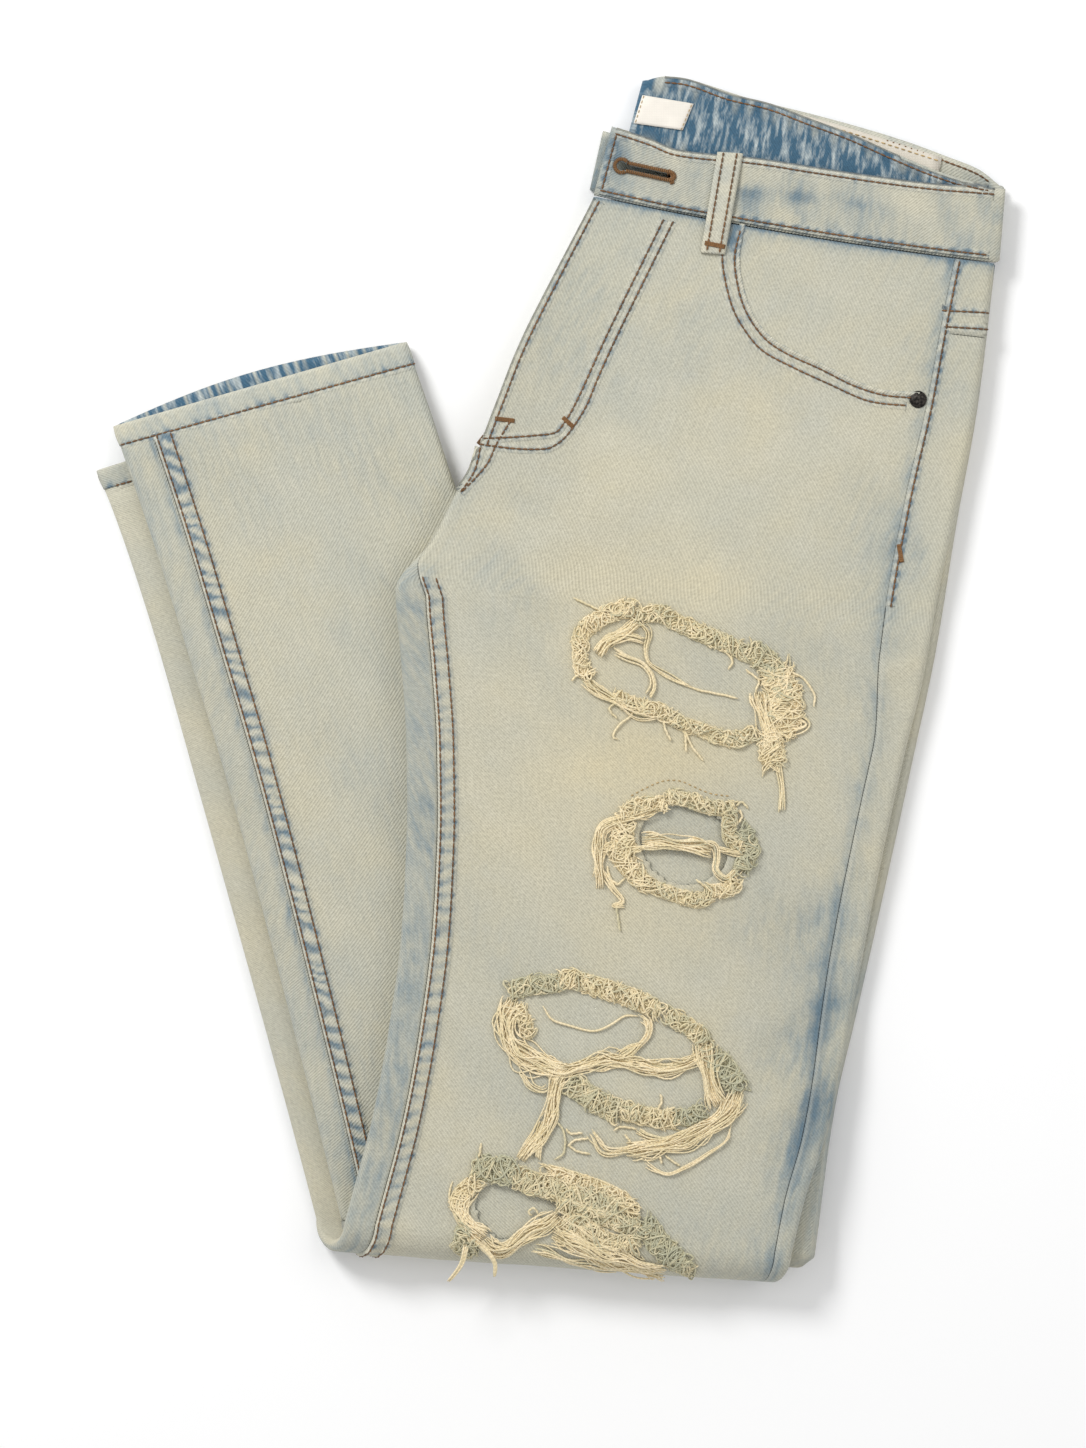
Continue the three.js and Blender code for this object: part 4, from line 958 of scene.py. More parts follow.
def spun_yarn():
    """Loose cotton yarn, undyed cream weft and faded blue warp. To the eye it is soft and matt,
    with fine twisted strands, and painted shade darkens the colour between them."""
    look = bpy.context.scene.jeans_yarn

    def build(tree):
        flat = node(tree, "Attribute", (), "Vector", attribute_name="cloth")
        cast = node(tree, "Attribute", (), "Color", attribute_name="cast")
        dyed = node(tree, "SeparateColor", (cast,))
        around = node(tree, "SeparateXYZ", (flat,))
        place = node(tree, "TexCoord", (), "Object")
        fibre, drift = (node(tree, "TexNoise", {"Vector": place, "Scale": 1 / size, "Detail": 2.0})
                        for size in (0.0011, 0.009))
        along = node(tree, "Math", (around.node.outputs[1], look.twist), operation="DIVIDE")
        turns = node(tree, "Math", (around, 1000.0, along), operation="MULTIPLY_ADD")
        twist = wave(tree, turns, 1.0)
        colour = layers(tree, rgba(look.cream), [
            (node(tree, "MapRange", (drift, 0.35, 0.65)), rgba(look.beige)),
            (dyed, rgba(look.dyed)),
            (dyed.node.outputs[1], rgba(look.shade)),
        ])
        # Painted shade: the colour is darker in the grooves between the twisted strands.
        painted_twist_shade = node(tree, "Math", (twist, 0.14, 0.88), operation="MULTIPLY_ADD")
        strand = node(tree, "MapRange", (fibre, 0.3, 0.7, 0.9, 1.05))
        shade = node(tree, "Math", (painted_twist_shade, strand), operation="MULTIPLY")
        height = node(tree, "Math", (twist, 0.6, fibre), operation="MULTIPLY_ADD")
        return worked(tree, colour, shade, height, 0.6, 0.0003) | {
            "Roughness": 0.92, "Sheen Weight": 0.2, "Specular IOR Level": 0.2}

    return material_of("spun_cotton_yarn", build)


def sewing_thread(name, colour):
    """Spun polyester sewing thread: a fine ply with a slight shine."""
    def build(tree):
        place = node(tree, "TexCoord", (), "Object")
        fibre = node(tree, "TexNoise", {"Vector": place, "Scale": 1 / 0.0009, "Detail": 2.0})
        fade = node(tree, "TexNoise", {"Vector": place, "Scale": 1 / 0.03, "Detail": 1.0})
        ply = node(tree, "MapRange", (fibre, 0.3, 0.7, 0.75, 1.15))
        faded = node(tree, "MapRange", (fade, 0.35, 0.65, 0.85, 1.3))
        shade = node(tree, "Math", (ply, faded), operation="MULTIPLY")
        return worked(tree, rgba(colour), shade, fibre, 0.4, 0.0002) | {
            "Roughness": 0.6, "Sheen Weight": 0.1}

    return material_of(name, build)


def woven_tape(name, colour, pitch, rough):
    """A flat plain weave or grained sheet: fine crossed threads in one pale colour, a little
    uneven from washing, with painted shade between the threads."""
    def build(tree):
        place = node(tree, "TexCoord", (), "Object")
        xyz = node(tree, "SeparateXYZ", (place,)).node.outputs
        weave = node(tree, "Math", (wave(tree, xyz[0], pitch), wave(tree, xyz[1], pitch)),
                     operation="MULTIPLY")
        wear = node(tree, "TexNoise", {"Vector": place, "Scale": 1 / 0.008, "Detail": 3.0})
        # Painted shade: the colour is darker between the crossed threads.
        thread = node(tree, "Math", (weave, 0.06, 0.95), operation="MULTIPLY_ADD")
        washed = node(tree, "MapRange", (wear, 0.3, 0.7, 0.93, 1.03))
        shade = node(tree, "Math", (thread, washed), operation="MULTIPLY")
        return worked(tree, rgba(colour), shade, weave, 0.4, 0.0002) | {"Roughness": rough}

    return material_of(name, build)


def oxidised_brass(colour):
    """A pressed brass rivet cap, blackened: dull dark metal, rubbed lighter on its dome."""
    def build(tree):
        place = node(tree, "TexCoord", (), "Object")
        wear = node(tree, "TexNoise", {"Vector": place, "Scale": 1 / 0.0012, "Detail": 3.0})
        rubbed = node(tree, "MapRange", (wear, 0.45, 0.7, 0.0, 0.5))
        return {"Base Color": layers(tree, rgba(colour), [(rubbed, rgba(linear("#6f6962")))]),
                "Roughness": node(tree, "MapRange", (wear, 0.3, 0.7, 0.35, 0.6)), "Metallic": 0.9}

    return material_of("pressed_brass_blackened", build)


def matt_paper(colour):
    """A roll of seamless background paper: even, matt and nearly white."""
    def build(tree):
        place = node(tree, "TexCoord", (), "Object")
        tooth = node(tree, "TexNoise", {"Vector": place, "Scale": 1 / 0.002, "Detail": 2.0})
        return {"Normal": node(tree, "Bump", {"Strength": 0.05, "Distance": 0.0002, "Height": tooth}),
                "Base Color": rgba(colour), "Roughness": 0.95}

    return material_of("seamless_background_paper", build)


# ------------------------------------------------------------------ settings
def colour_setting(name, description, default):
    """A colour that can be set, given as an sRGB hex colour."""
    return bpy.props.FloatVectorProperty(name=name, description=description, subtype="COLOR", size=3,
                                         min=0, max=1, default=linear(default))


def length_setting(name, description, default, low, high):
    """A length that can be set, in metres."""
    return bpy.props.FloatProperty(name=name, description=description, default=default, min=low,
                                   max=high, unit="LENGTH")


class JeansCloth(bpy.types.PropertyGroup):
    """How the denim looks."""

    beige: colour_setting("Beige", "Washed cloth where it is warmest", "#cbc5ad")
    grey: colour_setting("Grey", "Washed cloth where it is coolest", "#c3c1b0")
    pale: colour_setting("Pale", "Cloth bleached the most", "#d0ccba")
    stain: colour_setting("Stain", "Yellowed cloth round the rips", "#d8cca9")
    # Blue also colours painted shade and painted shadow lines; the inside colour deepens the strongest of
    # them.
    blue: colour_setting("Blue", "Indigo left beside the seams", "#86959a")
    worn: colour_setting("Worn", "Edges rubbed white", "#dedac8")
    inside: colour_setting("Inside", "The reverse of the cloth", "#40637a")
    inside_pale: colour_setting("Inside streaks", "Bleach streaks on the reverse", "#c2cac8")
    twill_pitch: length_setting("Twill pitch", "Between two twill lines", 0.0013, 0.0005, 0.005)


class JeansYarn(bpy.types.PropertyGroup):
    """How the loose yarn of the rips looks."""

    cream: colour_setting("Cream", "Undyed yarn", "#ffeec8")
    beige: colour_setting("Beige", "Yarn with a little dirt", "#f3e2b8")
    dyed: colour_setting("Dyed", "Faded indigo yarn", "#a3b2b3")
    shade: colour_setting("Shade", "Greenish beige yarn", "#cfc9a3")
    radius: length_setting("Radius", "Of one yarn", 0.00045, 0.0001, 0.002)
    twist: length_setting("Twist", "Length of one turn of the yarn's twist", 0.0022, 0.0005, 0.01)


class JeansThread(bpy.types.PropertyGroup):
    """How the topstitching looks."""

    brown: colour_setting("Topstitch", "Thread of the seams", "#6f4d2a")
    dark: colour_setting("Buttonhole", "Thread of the buttonhole and bartacks", "#745028")
    pale: colour_setting("Faded", "Thread that sews on the patches behind the rips", "#b59a6a")
    pitch: length_setting("Pitch", "From one stitch to the next", 0.0033, 0.001, 0.01)
    length: length_setting("Length", "Of the visible part of a stitch", 0.0032, 0.001, 0.01)
    width: length_setting("Width", "Of the thread", 0.00105, 0.0003, 0.003)


class JeansStage(bpy.types.PropertyGroup):
    """The floor and the light."""

    floor: colour_setting("Floor", "Background paper", "#fcfcfc")
    key: bpy.props.FloatProperty(name="Key light", description="Power of the main light",
                                 default=34.0, min=0, unit="POWER")
    sky: bpy.props.FloatProperty(name="Sky", description="Strength of the even light from all round",
                                 default=0.62, min=0)


# ------------------------------------------------------------------ legs
SEAM_GAP = 0.15  # from a panel's edge to the middle of its seam


def front_strip(leg, s, count):
    """Positions across a front panel, fine beside its seams."""
    start = inseam(s) + SEAM_GAP
    end = leg.half(s) - outseam(s) - SEAM_GAP
    fine = np.linspace(0, 11, 11)[None, :-1] + start[:, None]
    middle = (start + 11)[:, None] + (end - start - 15)[:, None] * np.linspace(0, 1, count)
    return np.concatenate([fine, middle, end[:, None] - [[2.7, 1.5, 0.7, 0]]], axis=1)


def back_strip(leg, s, counts):
    """Fine where the back comes round to the upper side, coarse below."""
    half = leg.half(s)
    marks = [half - outseam(s) + SEAM_GAP, half + ARC, 2 * half - ARC,
             2 * half + inseam(s) - SEAM_GAP]
    spans = [marks[i][:, None] + (marks[i + 1] - marks[i])[:, None] * np.linspace(0, 1, n + 1)[:-1]
             for i, n in enumerate(counts)]
    return np.concatenate(spans + [marks[-1][:, None]], axis=1)


# Blue tints of the left thigh, each as (strength, middle x, middle y, reach x, reach y). The one
# # at (95, 228) is a painted shadow by the belt loop's lower end.
THIGH_BLUE_AND_SHADOW = [
    # (0.9, 95, 228, 5, 7) is a painted shadow by the belt loop's lower end
    (0.35, -46, 108, 16, 22), (0.9, 95, 228, 5, 7), (0.34, 146, -225, 26, 62),
    (0.2, 120, -130, 60, 20), (0.16, 5, 190, 30, 60), (0.14, 128, 20, 26, 40),
    (0.16, 170, 60, 30, 60), (0.16, 60, -310, 90, 40),
]
THIGH_STAIN = [
    (0.9, 52, -42, 46, 20), (0.55, 76, 50, 40, 16), (0.5, 40, 25, 40, 30), (0.4, 40, -125, 50, 24),
    (0.35, 20, -60, 50, 50),
]


def cast_of(blue, stain=0.0, worn=0.0):
    """The cast of each point: its blue, stain and worn, and 0 for the outer side of the cloth.
    The blue is indigo and, in places, painted shade.
    """
    return np.clip(np.stack(np.broadcast_arrays(blue, stain, worn, 0.0), -1), 0, 1)


def reverse_of(cast, share=1.0):
    """The cast of the inner side, which shows the cloth's reverse by a share."""
    inner = cast.copy()
    inner[..., 3] = share
    return inner


def cloth_place(s, p):
    """Where a point lies on the cloth laid flat: round the leg, and along it."""
    return np.stack([p, along_leg(s)], -1)


def thigh_cast(x, y, s, p, leg):
    """The cast of the left leg at places seen from above."""
    half = leg.half(s)
    p = np.mod(p, 2 * half)
    to_outseam = half - outseam(s) - p
    on_fell = smooth((s - CROTCH) / 0.04)
    blue = 0.35 * bell(to_outseam, 5) + 0.1 * smooth(1 - np.abs(to_outseam) / 24)
    blue = blue + spots(x, y, THIGH_BLUE_AND_SHADOW) + 0.52 * smooth((18.5 - p) / 1.5) * on_fell
    fell = np.exp(-((p - inseam(s) - 5.3) / 5) ** 4)
    blue = blue + on_fell * fell * (0.3 - 0.34 * fell_wave(s, p))
    # Painted shadow under the waistband's lower edge, along the waist seam.
    blue = blue + np.exp(-s * THIGH_LENGTH / 2.6) + 0.1 * smooth((y - 120) / 50)
    blue = blue + 0.2 * smooth((-60 - y) / 140) * smooth((x - 90) / 60)
    # Painted shade: bluer and darker in the troughs of the creases, paler on their ridges.
    blue = blue - 0.22 * sum(crease(x, y, *line) for line in CREASES)
    blue = blue + 0.1 * soft_noise(x + 0.8 * y, y * 0.3, 22, 21) + 0.04
    worn = 0.5 * bell(p - inseam(s) - 0.8, 1.1) * on_fell + 0.3 * bell(to_outseam + 1.2, 1)
    return cast_of(blue, spots(x, y, THIGH_STAIN), worn)


def calf_cast(x, y, s, p, leg):
    """The cast of the right calf at places seen from above."""
    p = np.mod(p, 2 * leg.half(s))
    band = p - inseam(s)
    puckers = fell_wave(s, p)
    blue = 0.5 * bell(band + 1.6, 2.6) + np.exp(-((band - 5.4) / 5) ** 4) * (0.38 - 0.42 * puckers)
    blue = blue + 0.1 * soft_noise(x + y, y * 0.4, 20, 22) + 0.2 * smooth((s - 2.8) / 0.2) + 0.13
    # Painted shade: darker over the left rolled edge, where it turns away.
    blue = blue + 0.2 * smooth(1 - p / 18)
    worn = 0.7 * bell(band - 0.5, 0.8) + 0.3 * bell(band - 5, 3) * smooth(puckers)
    return cast_of(blue, worn=worn)


def leg_piece(name, leg, s, p, relief, cast, node_name, holes=(), ring=False):
    """One cut piece of cloth of a leg, with holes that are closed outlines seen from above."""
    s = np.broadcast_to(s[:, None], p.shape)
    outer = leg.cloth(s, p, 0.0, relief)
    inner = leg.cloth(s, p, CLOTH, relief)
    tint = cast(outer[..., 0], outer[..., 1], s, p, leg)
    keep = np.ones((p.shape[0] - 1, p.shape[1] - (0 if ring else 1)), bool)
    for outline in holes:
        keep &= cut_hole((outer, inner), outline, PANEL_SNAP, outer[..., 2] > FOLD_AXIS)
    parts = shell(outer, inner, cloth_place(s, p), (tint, reverse_of(tint)), keep, ring)
    made = piece(name, parts, washed_denim())
    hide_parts(node_name)
    return made


def stations(thigh, fold, calf, start=0.0, end=HEM_START):
    """Stations down a leg, as many in each part as asked for."""
    parts = []
    if thigh:
        parts.append(np.linspace(start, 1, thigh, endpoint=False))
    if fold:
        parts.append(np.linspace(1, 2, fold, endpoint=False))
    parts.append(np.linspace(max(start, 2), end, calf))
    return np.concatenate(parts)


def all_round(leg, s, count):
    """Positions all round a leg."""
    return 2 * leg.half(s)[:, None] * np.arange(count) / count


def pocket_cut():
    """The front panel's outline that is cut away over the pocket's facing."""
    return np.array(spline(POCKET_MOUTH, 2.0).tolist() + [[262, 149], [262, 262], [100.5, 262]])


class JEANS_OT_left_leg(bpy.types.Operator):
    """Makes the left leg: front panel with its rips, back panel and yoke"""

    bl_idname = "jeans.left_leg"
    bl_label = "Left leg"

    def execute(self, context):
        rng = np.random.default_rng(11)
        holes = [pocket_cut()]
        for rip in RIPS.values():
            outline = closed_spline(rip["opening"], 1.6)
            holes.append(outline + rng.normal(0, 0.35, outline.shape))
        s = stations(230, 20, 44)
        front = leg_piece("left_front_panel", LEFT, s, front_strip(LEFT, s, 102), left_relief,
                          thigh_cast, "left_front_leg", holes)
        s = stations(150, 20, 44, start=YOKE_END + 0.0006)
        back = leg_piece("left_back_panel", LEFT, s, back_strip(LEFT, s, (20, 10, 14)), left_relief,
                         thigh_cast, "left_back_leg")
        s = np.linspace(0, YOKE_END, 20)
        yoke = leg_piece("left_yoke", LEFT, s, back_strip(LEFT, s, (20, 22, 6)), left_relief,
                         thigh_cast, "left_back_yoke")
        return {"FINISHED"}


class JEANS_OT_right_leg(bpy.types.Operator):
    """Makes the right leg: the calf that shows, and the thigh inside the fold"""

    bl_idname = "jeans.right_leg"
    bl_label = "Right leg"

    def execute(self, context):
        s = stations(0, 0, 190, start=2.0006)
        front = leg_piece("right_front_panel", RIGHT, s, front_strip(RIGHT, s, 60), right_relief,
                          calf_cast, "right_front_leg")
        back = leg_piece("right_back_panel", RIGHT, s, back_strip(RIGHT, s, (8, 10, 14)),
                         right_relief, calf_cast, "right_back_leg")
        s = np.concatenate([np.linspace(0, 1, 48, endpoint=False), np.linspace(1, 2, 14)])
        hidden = leg_piece("right_thigh_inside_the_fold", RIGHT, s, all_round(RIGHT, s, 96), None,
                           thigh_cast, "hidden_layers", ring=True)
        return {"FINISHED"}


class JEANS_OT_hems(bpy.types.Operator):
    """Makes the two turned-up hems"""

    bl_idname = "jeans.hems"
    bl_label = "Hems"

    def execute(self, context):
        across = np.array([-0.45, 0.89, 0])  # the way a hem's back reaches past its front
        for name, leg, reach in (("left_hem", LEFT, 1.5), ("right_hem", RIGHT, 7.5)):
            s = np.linspace(HEM_START, 3, 9)
            p = all_round(leg, s, 220)
            s = np.broadcast_to(s[:, None], p.shape)
            half = leg.half(s)
            back = np.sin(np.pi * np.clip((p - half) / half, 0, 1))
            share = (s - HEM_START) / (3 - HEM_START)
            rope = np.sin(p / 7.5 * 2 * np.pi + 3.5 * share + 2 * soft_noise(p, p, 23, 34))
            roll = 0.7 + (0.5 + 0.22 * rope) * np.sin(np.pi * share)
            shift = across * (reach * back * share)[..., None]
            outer = leg.ring(s, p, -roll * 0.6)[0] + shift
            inner = leg.ring(s, p, np.where(share > 0.96, HEM_WALL - 0.4, HEM_WALL))[0] + shift
            outer[..., 2] = np.maximum(outer[..., 2], 0)
            # Bluest where the hem begins beside its stitches: indigo in the seam and a painted shadow along
            # the hem's edge.
            blue = 0.36 + (0.4 - 0.3 * rope) * np.exp(-share / 0.25) + 0.16 * soft_noise(p, s * 200, 11, 32)
            tint = cast_of(blue, worn=0.4 * smooth((share - 0.8) / 0.2))
            streak = np.sin(p / 5.4 * 2 * np.pi + 3 * soft_noise(p, p, 17, 33))
            reverse = reverse_of(tint, 1 - 0.85 * smooth((streak - 0.62) / 0.35))
            parts = shell(outer, inner, cloth_place(s, p), (tint, reverse), ring=True)
            made = piece(name + "_band", parts, washed_denim())
            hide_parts(name)
        return {"FINISHED"}


# ------------------------------------------------------------------ waistband
def band_line(points, t):
    """Points at even shares of the width on a smooth line through the given ones."""
    x = points[0][0] + (points[-1][0] - points[0][0]) * t
    return np.stack([x, Curve(*zip(*points))(x)], -1)


def waist_seam(t):
    """Where the legs end and the waistband begins."""
    s = np.zeros_like(t)
    seam = LEFT.place(s, t * LEFT.width(s), 0.0)[..., :2]
    seam[..., 1] += 0.6
    return seam


def band_edges(length, t):
    """The bottom and top edges of a length of the waistband."""
    low = waist_seam(t) if length["bottom"] is None else band_line(length["bottom"], t)
    return low, band_line(length["top"], t)


def band_stations():
    """Lower and upper edge points of the ribbon with the heights of its two faces."""
    rows = []
    for i, length in enumerate(BAND):
        rightward = i % 2 == 0
        t = np.linspace(0, 1, BAND_STEPS) if rightward else np.linspace(1, 0, BAND_STEPS)
        low, high = band_edges(length, t)
        below, above = np.full(BAND_STEPS, length["low"]), np.full(BAND_STEPS, length["high"])
        within, without = (below, above) if rightward else (above, below)
        rows.append((low, high, within, low, high, without))
        if i < len(BAND) - 1:
            lower = BAND[i + 1]
            end = np.array([1.0 if rightward else 0.0])
            angle = np.linspace(0, np.pi, 12)[1:-1]
            weight = (1 - np.cos(angle)) / 2
            start_edges, end_edges = band_edges(length, end), band_edges(lower, end)
            turned = []
            for share in (1.0, 0.25):
                pair = []
                for a, b in zip(start_edges, end_edges):
                    line = between(a, b, weight[:, None])
                    line[:, 0] += np.sin(angle) * BAND_END_REACH * share * (1 if rightward else -1)
                    pair.append(line)
                turned.append(pair)
            outer_z = between(length["high"], lower["low"], weight)
            inner_z = between(length["low"], lower["high"], weight)
            wide, tight = (*turned[0], outer_z), (*turned[1], inner_z)
            rows.append((*tight, *wide) if rightward else (*wide, *tight))
    return [np.concatenate([np.asarray(r[k]) for r in rows]) for k in range(6)]


def keyhole(grow):
    """The outline of the buttonhole, larger all round by a width."""
    eye, tail = np.array(BUTTONHOLE["eye"]), np.array(BUTTONHOLE["tail"])
    radius, slot = BUTTONHOLE["radius"] + grow, BUTTONHOLE["slot"] + grow
    heading = math.atan2(*(tail - eye)[::-1])
    opening = math.asin(slot / radius)
    round_part = np.linspace(heading + opening, heading + 2 * np.pi - opening, 18)
    tip = np.linspace(heading - np.pi / 2, heading + np.pi / 2, 8)
    ring = eye + radius * np.stack([np.cos(round_part), np.sin(round_part)], -1)
    end = tail + slot * np.stack([np.cos(tip), np.sin(tip)], -1)
    return np.vstack([ring, end])


class JEANS_OT_waistband(bpy.types.Operator):
    """Makes the waistband, folded to and fro, with its buttonhole"""

    bl_idname = "jeans.waistband"
    bl_label = "Waistband"

    def execute(self, context):
        in_low, in_high, in_z, out_low, out_high, out_z = band_stations()
        v = np.linspace(0, 1, 17)
        to_edge = np.minimum(v, 1 - v)
        rim = np.sqrt(np.clip(1 - (1 - to_edge / 0.06) ** 2, 0, 1))
        rim = np.where(to_edge > 0.06, 1, rim)
        grids = []
        middle = (in_z + out_z) / 2
        for low, high, z in ((out_low, out_high, out_z), (in_low, in_high, in_z)):
            xy = between(low[:, None], high[:, None], v[None, :, None])
            half = (z - middle)[:, None] * (0.35 + 0.65 * rim)[None]
            grids.append(np.concatenate([xy, (middle[:, None] + half)[..., None]], -1))
        outer, inner = grids
        along = lengths(out_low)
        on_top = np.broadcast_to((np.arange(len(in_z)) < BAND_STEPS)[:, None], outer.shape[:2])
        ripple = 0.55 * soft_noise(along[:, None] + v[None] * 14, v[None] * 12, 8, 41)
        ripple = ripple - 0.3 * bell(v[None] - 0.09, 0.03) - 0.3 * bell(v[None] - 0.91, 0.03)
        outer[..., 2] += np.where(on_top, ripple - 0.1, 0)
        keep = cut_hole(grids, keyhole(0), BAND_SNAP, on_top)
        x, y = outer[..., 0], outer[..., 1]
        blue = 0.3 + 0.16 * soft_noise(along[:, None] * 0.35, v[None] * 40, 9, 42)
        blue = blue + 0.45 * bell(x - 33, 11) + 0.2 * bell(x - 225, 12)
        from_streak = y - 255.5 + (x - 91) * 0.115
        blue = blue + 0.3 * bell(from_streak, 4) * smooth((x - 86) / 8) * smooth((205 - x) / 70)
        # Painted shadow beside the belt loop at (102, 252), and painted shade where the band dips in its
        # ripples and stitch grooves.
        blue = blue + spots(x, y, [(0.35, 102, 252, 8, 9)]) - 0.5 * ripple
        tint = cast_of(blue, worn=0.5 * bell(v[None] - 0.97, 0.05))
        streak = np.sin(along / 4.3 * 2 * np.pi + 4 * soft_noise(along, along, 13, 43))[:, None]
        near_edge = smooth((np.abs(v - 0.5) - 0.2) / 0.2)[None]
        reverse = reverse_of(tint, 1 - 0.6 * smooth((streak - 0.2) / 0.7) * near_edge)
        reverse[along > along[-1] * 0.76, :, 3] = 0
        flat = np.stack(np.broadcast_arrays(along[:, None], v[None] * 40), -1)
        parts = shell(outer, inner, flat, (tint, reverse), keep)
        band = piece("waistband_ribbon", parts, washed_denim())
        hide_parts("waistband")
        return {"FINISHED"}


def plate(name, line_a, line_b, steps, low, high, material, node_name, cast=None, bow=0.0):
    """A thin plate between two lines, between two heights given for each place."""
    a, b = np.asarray(line_a, float), np.asarray(line_b, float)
    t = np.linspace(0, 1, steps)
    xy = between(a[:, None], b[:, None], t[None, :, None])
    x, y = xy[..., 0], xy[..., 1]
    rim = np.minimum(1, np.minimum(t, 1 - t)[None] * steps / 1.5 + 0.4)
    top, under = high(x, y) + bow * 4 * (t * (1 - t))[None], low(x, y)
    outer = np.concatenate([xy, (under + (top - under) * rim)[..., None]], -1)
    inner = np.concatenate([xy, under[..., None]], -1)
    along = lengths(a)
    wide = np.linalg.norm(b - a, axis=1)[:, None] * t
    flat = np.stack(np.broadcast_arrays(wide, along[:, None]), -1)
    tint = np.zeros(x.shape + (4,)) if cast is None else cast(x, y)
    made = piece(name, shell(outer, inner, flat, (tint, tint)), material)
    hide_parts(node_name)
    return made


class JEANS_OT_fittings(bpy.types.Operator):
    """Makes the belt loop, pocket facing, bare label and patch, and finishes the rivet"""

    bl_idname = "jeans.fittings"
    bl_label = "Loop, facing, label, patch and rivet"

    def execute(self, context):
        base = BAND[0]["high"] + LAYER_GAP
        rows = np.linspace(0, 1, 40)[:, None]
        left, right = (between(*np.array(line), rows) for line in (LOOP_LEFT, LOOP_RIGHT))
        arch = lambda y: 1.4 * np.sin(np.pi * np.clip((y - 221) / 53, 0, 1))
        ridge = lambda x, y: base + 1.6 + arch(y)

        def loop_cast(x, y):
            return cast_of(0.2 + 0.4 * soft_noise(x, y, 5, 51), worn=0.3)

        loop = plate("belt_loop_strip", left, right, 11, lambda x, y: base + arch(y), ridge, washed_denim(),
                     "belt_loop", loop_cast)
        outer, inner = (even(spline(line, 3), 1) for line in (FACING_OUTER, FACING_INNER))
        outer, inner = (line[np.linspace(0, len(line) - 1, 40).astype(int)] for line in (outer, inner))
        level = frame_mm("pocket_facing", 1, 2)

        def facing_cast(x, y):
            mouth = near_line(x, y, spline(POCKET_MOUTH, 4))[0]
            # Painted shadow under the pocket mouth's lip, and by the belt loop's lower end at x 96.
            blue = 0.46 + 0.2 * soft_noise(x + y, y * 0.5, 16, 52) + np.exp(-mouth / 1.7)
            return cast_of(blue + 0.7 * bell(x - 96, 5))

        dent = lambda x, y: level + 0.25 * soft_noise(x, y, 18, 53) - 0.9
        facing = plate("pocket_facing_cloth", outer, inner, 40, lambda x, y: level - 2.0 + 0 * x, dent,
                       washed_denim(), "pocket_facing", facing_cast)
        edges = [spline(line, 1.5) for line in LABEL]
        tape = woven_tape("woven_label_tape", context.scene.jeans_fittings.label, 0.0009, 0.75)
        label_base = BAND[1]["high"] + LAYER_GAP
        count = min(len(e) for e in edges)
        label = plate("label_tape", edges[0][:count], edges[1][:count], 14,
                      lambda x, y: label_base + 0 * x, lambda x, y: label_base + 0.8 + 0 * x, tape,
                      "woven_label")
        grained = woven_tape("waist_patch_card", context.scene.jeans_fittings.patch, 0.0014, 0.6)
        patch_base = BAND[2]["high"] + LAYER_GAP
        sides = [spline(line, 3) for line in WAIST_PATCH]
        count = min(len(e) for e in sides)
        sides = [e[np.linspace(0, len(e) - 1, count).astype(int)] for e in sides]
        card = plate("waist_patch_card", sides[0], sides[1], 12, lambda x, y: patch_base + 0 * x,
                     lambda x, y: patch_base + 1.0 + 0 * x, grained, "waist_patch")
        rivet = bpy.data.objects["pocket_rivet"]
        metal = oxidised_brass(context.scene.jeans_fittings.rivet)
        for slot in rivet.material_slots:
            slot.material = metal
        return {"FINISHED"}


class JeansFittings(bpy.types.PropertyGroup):
    """Colours of the label, patch and rivet."""

    label: colour_setting("Label", "Bare woven label", "#efe9de")
    patch: colour_setting("Patch", "Bare patch on the back of the waistband", "#d9d2c4")
    rivet: colour_setting("Rivet", "Blackened brass", "#262422")


# ------------------------------------------------------------------ rips
def tone_cast(tone, rng):
    """The cast of one yarn, near a tone."""
    tone = float(np.clip(tone + rng.normal(0, 0.2), 0, 1))
    return [np.clip((tone - 0.3) * 1.3, 0, 1), np.clip(tone * 1.1, 0, 0.7), 0, 0]


def frame_of(line):
    """The directions along a line and to its left."""
    tangent = np.gradient(line, axis=0)
    tangent /= np.maximum(np.linalg.norm(tangent, axis=1, keepdims=True), 1e-9)
    return tangent, np.stack([-tangent[:, 1], tangent[:, 0]], -1)


def at_share(values, share):
    """Values at shares of a line's length."""
    where = np.clip(share, 0, 1) * (len(values) - 1)
    return np.stack([np.interp(where, np.arange(len(values)), values[:, k]) for k in range(2)], -1)


def lifted(paths, lift):
    """Paths seen from above, at a height over the cloth."""
    return np.concatenate([paths, (top_height(paths[..., 0], paths[..., 1]) + lift)[..., None]], -1)


MAT_SPREAD, BUNDLE_SPREAD = 1.3, 1.25  # yarn lies wider than the lines were drawn for
YARN_STEP = 0.8  # between the points of a line that yarns follow


def taper(u, tip, slope):
    """How thick a yarn is along it, as a share, thinner towards its ends."""
    return np.minimum(1, tip + slope * np.minimum(u, 1 - u))


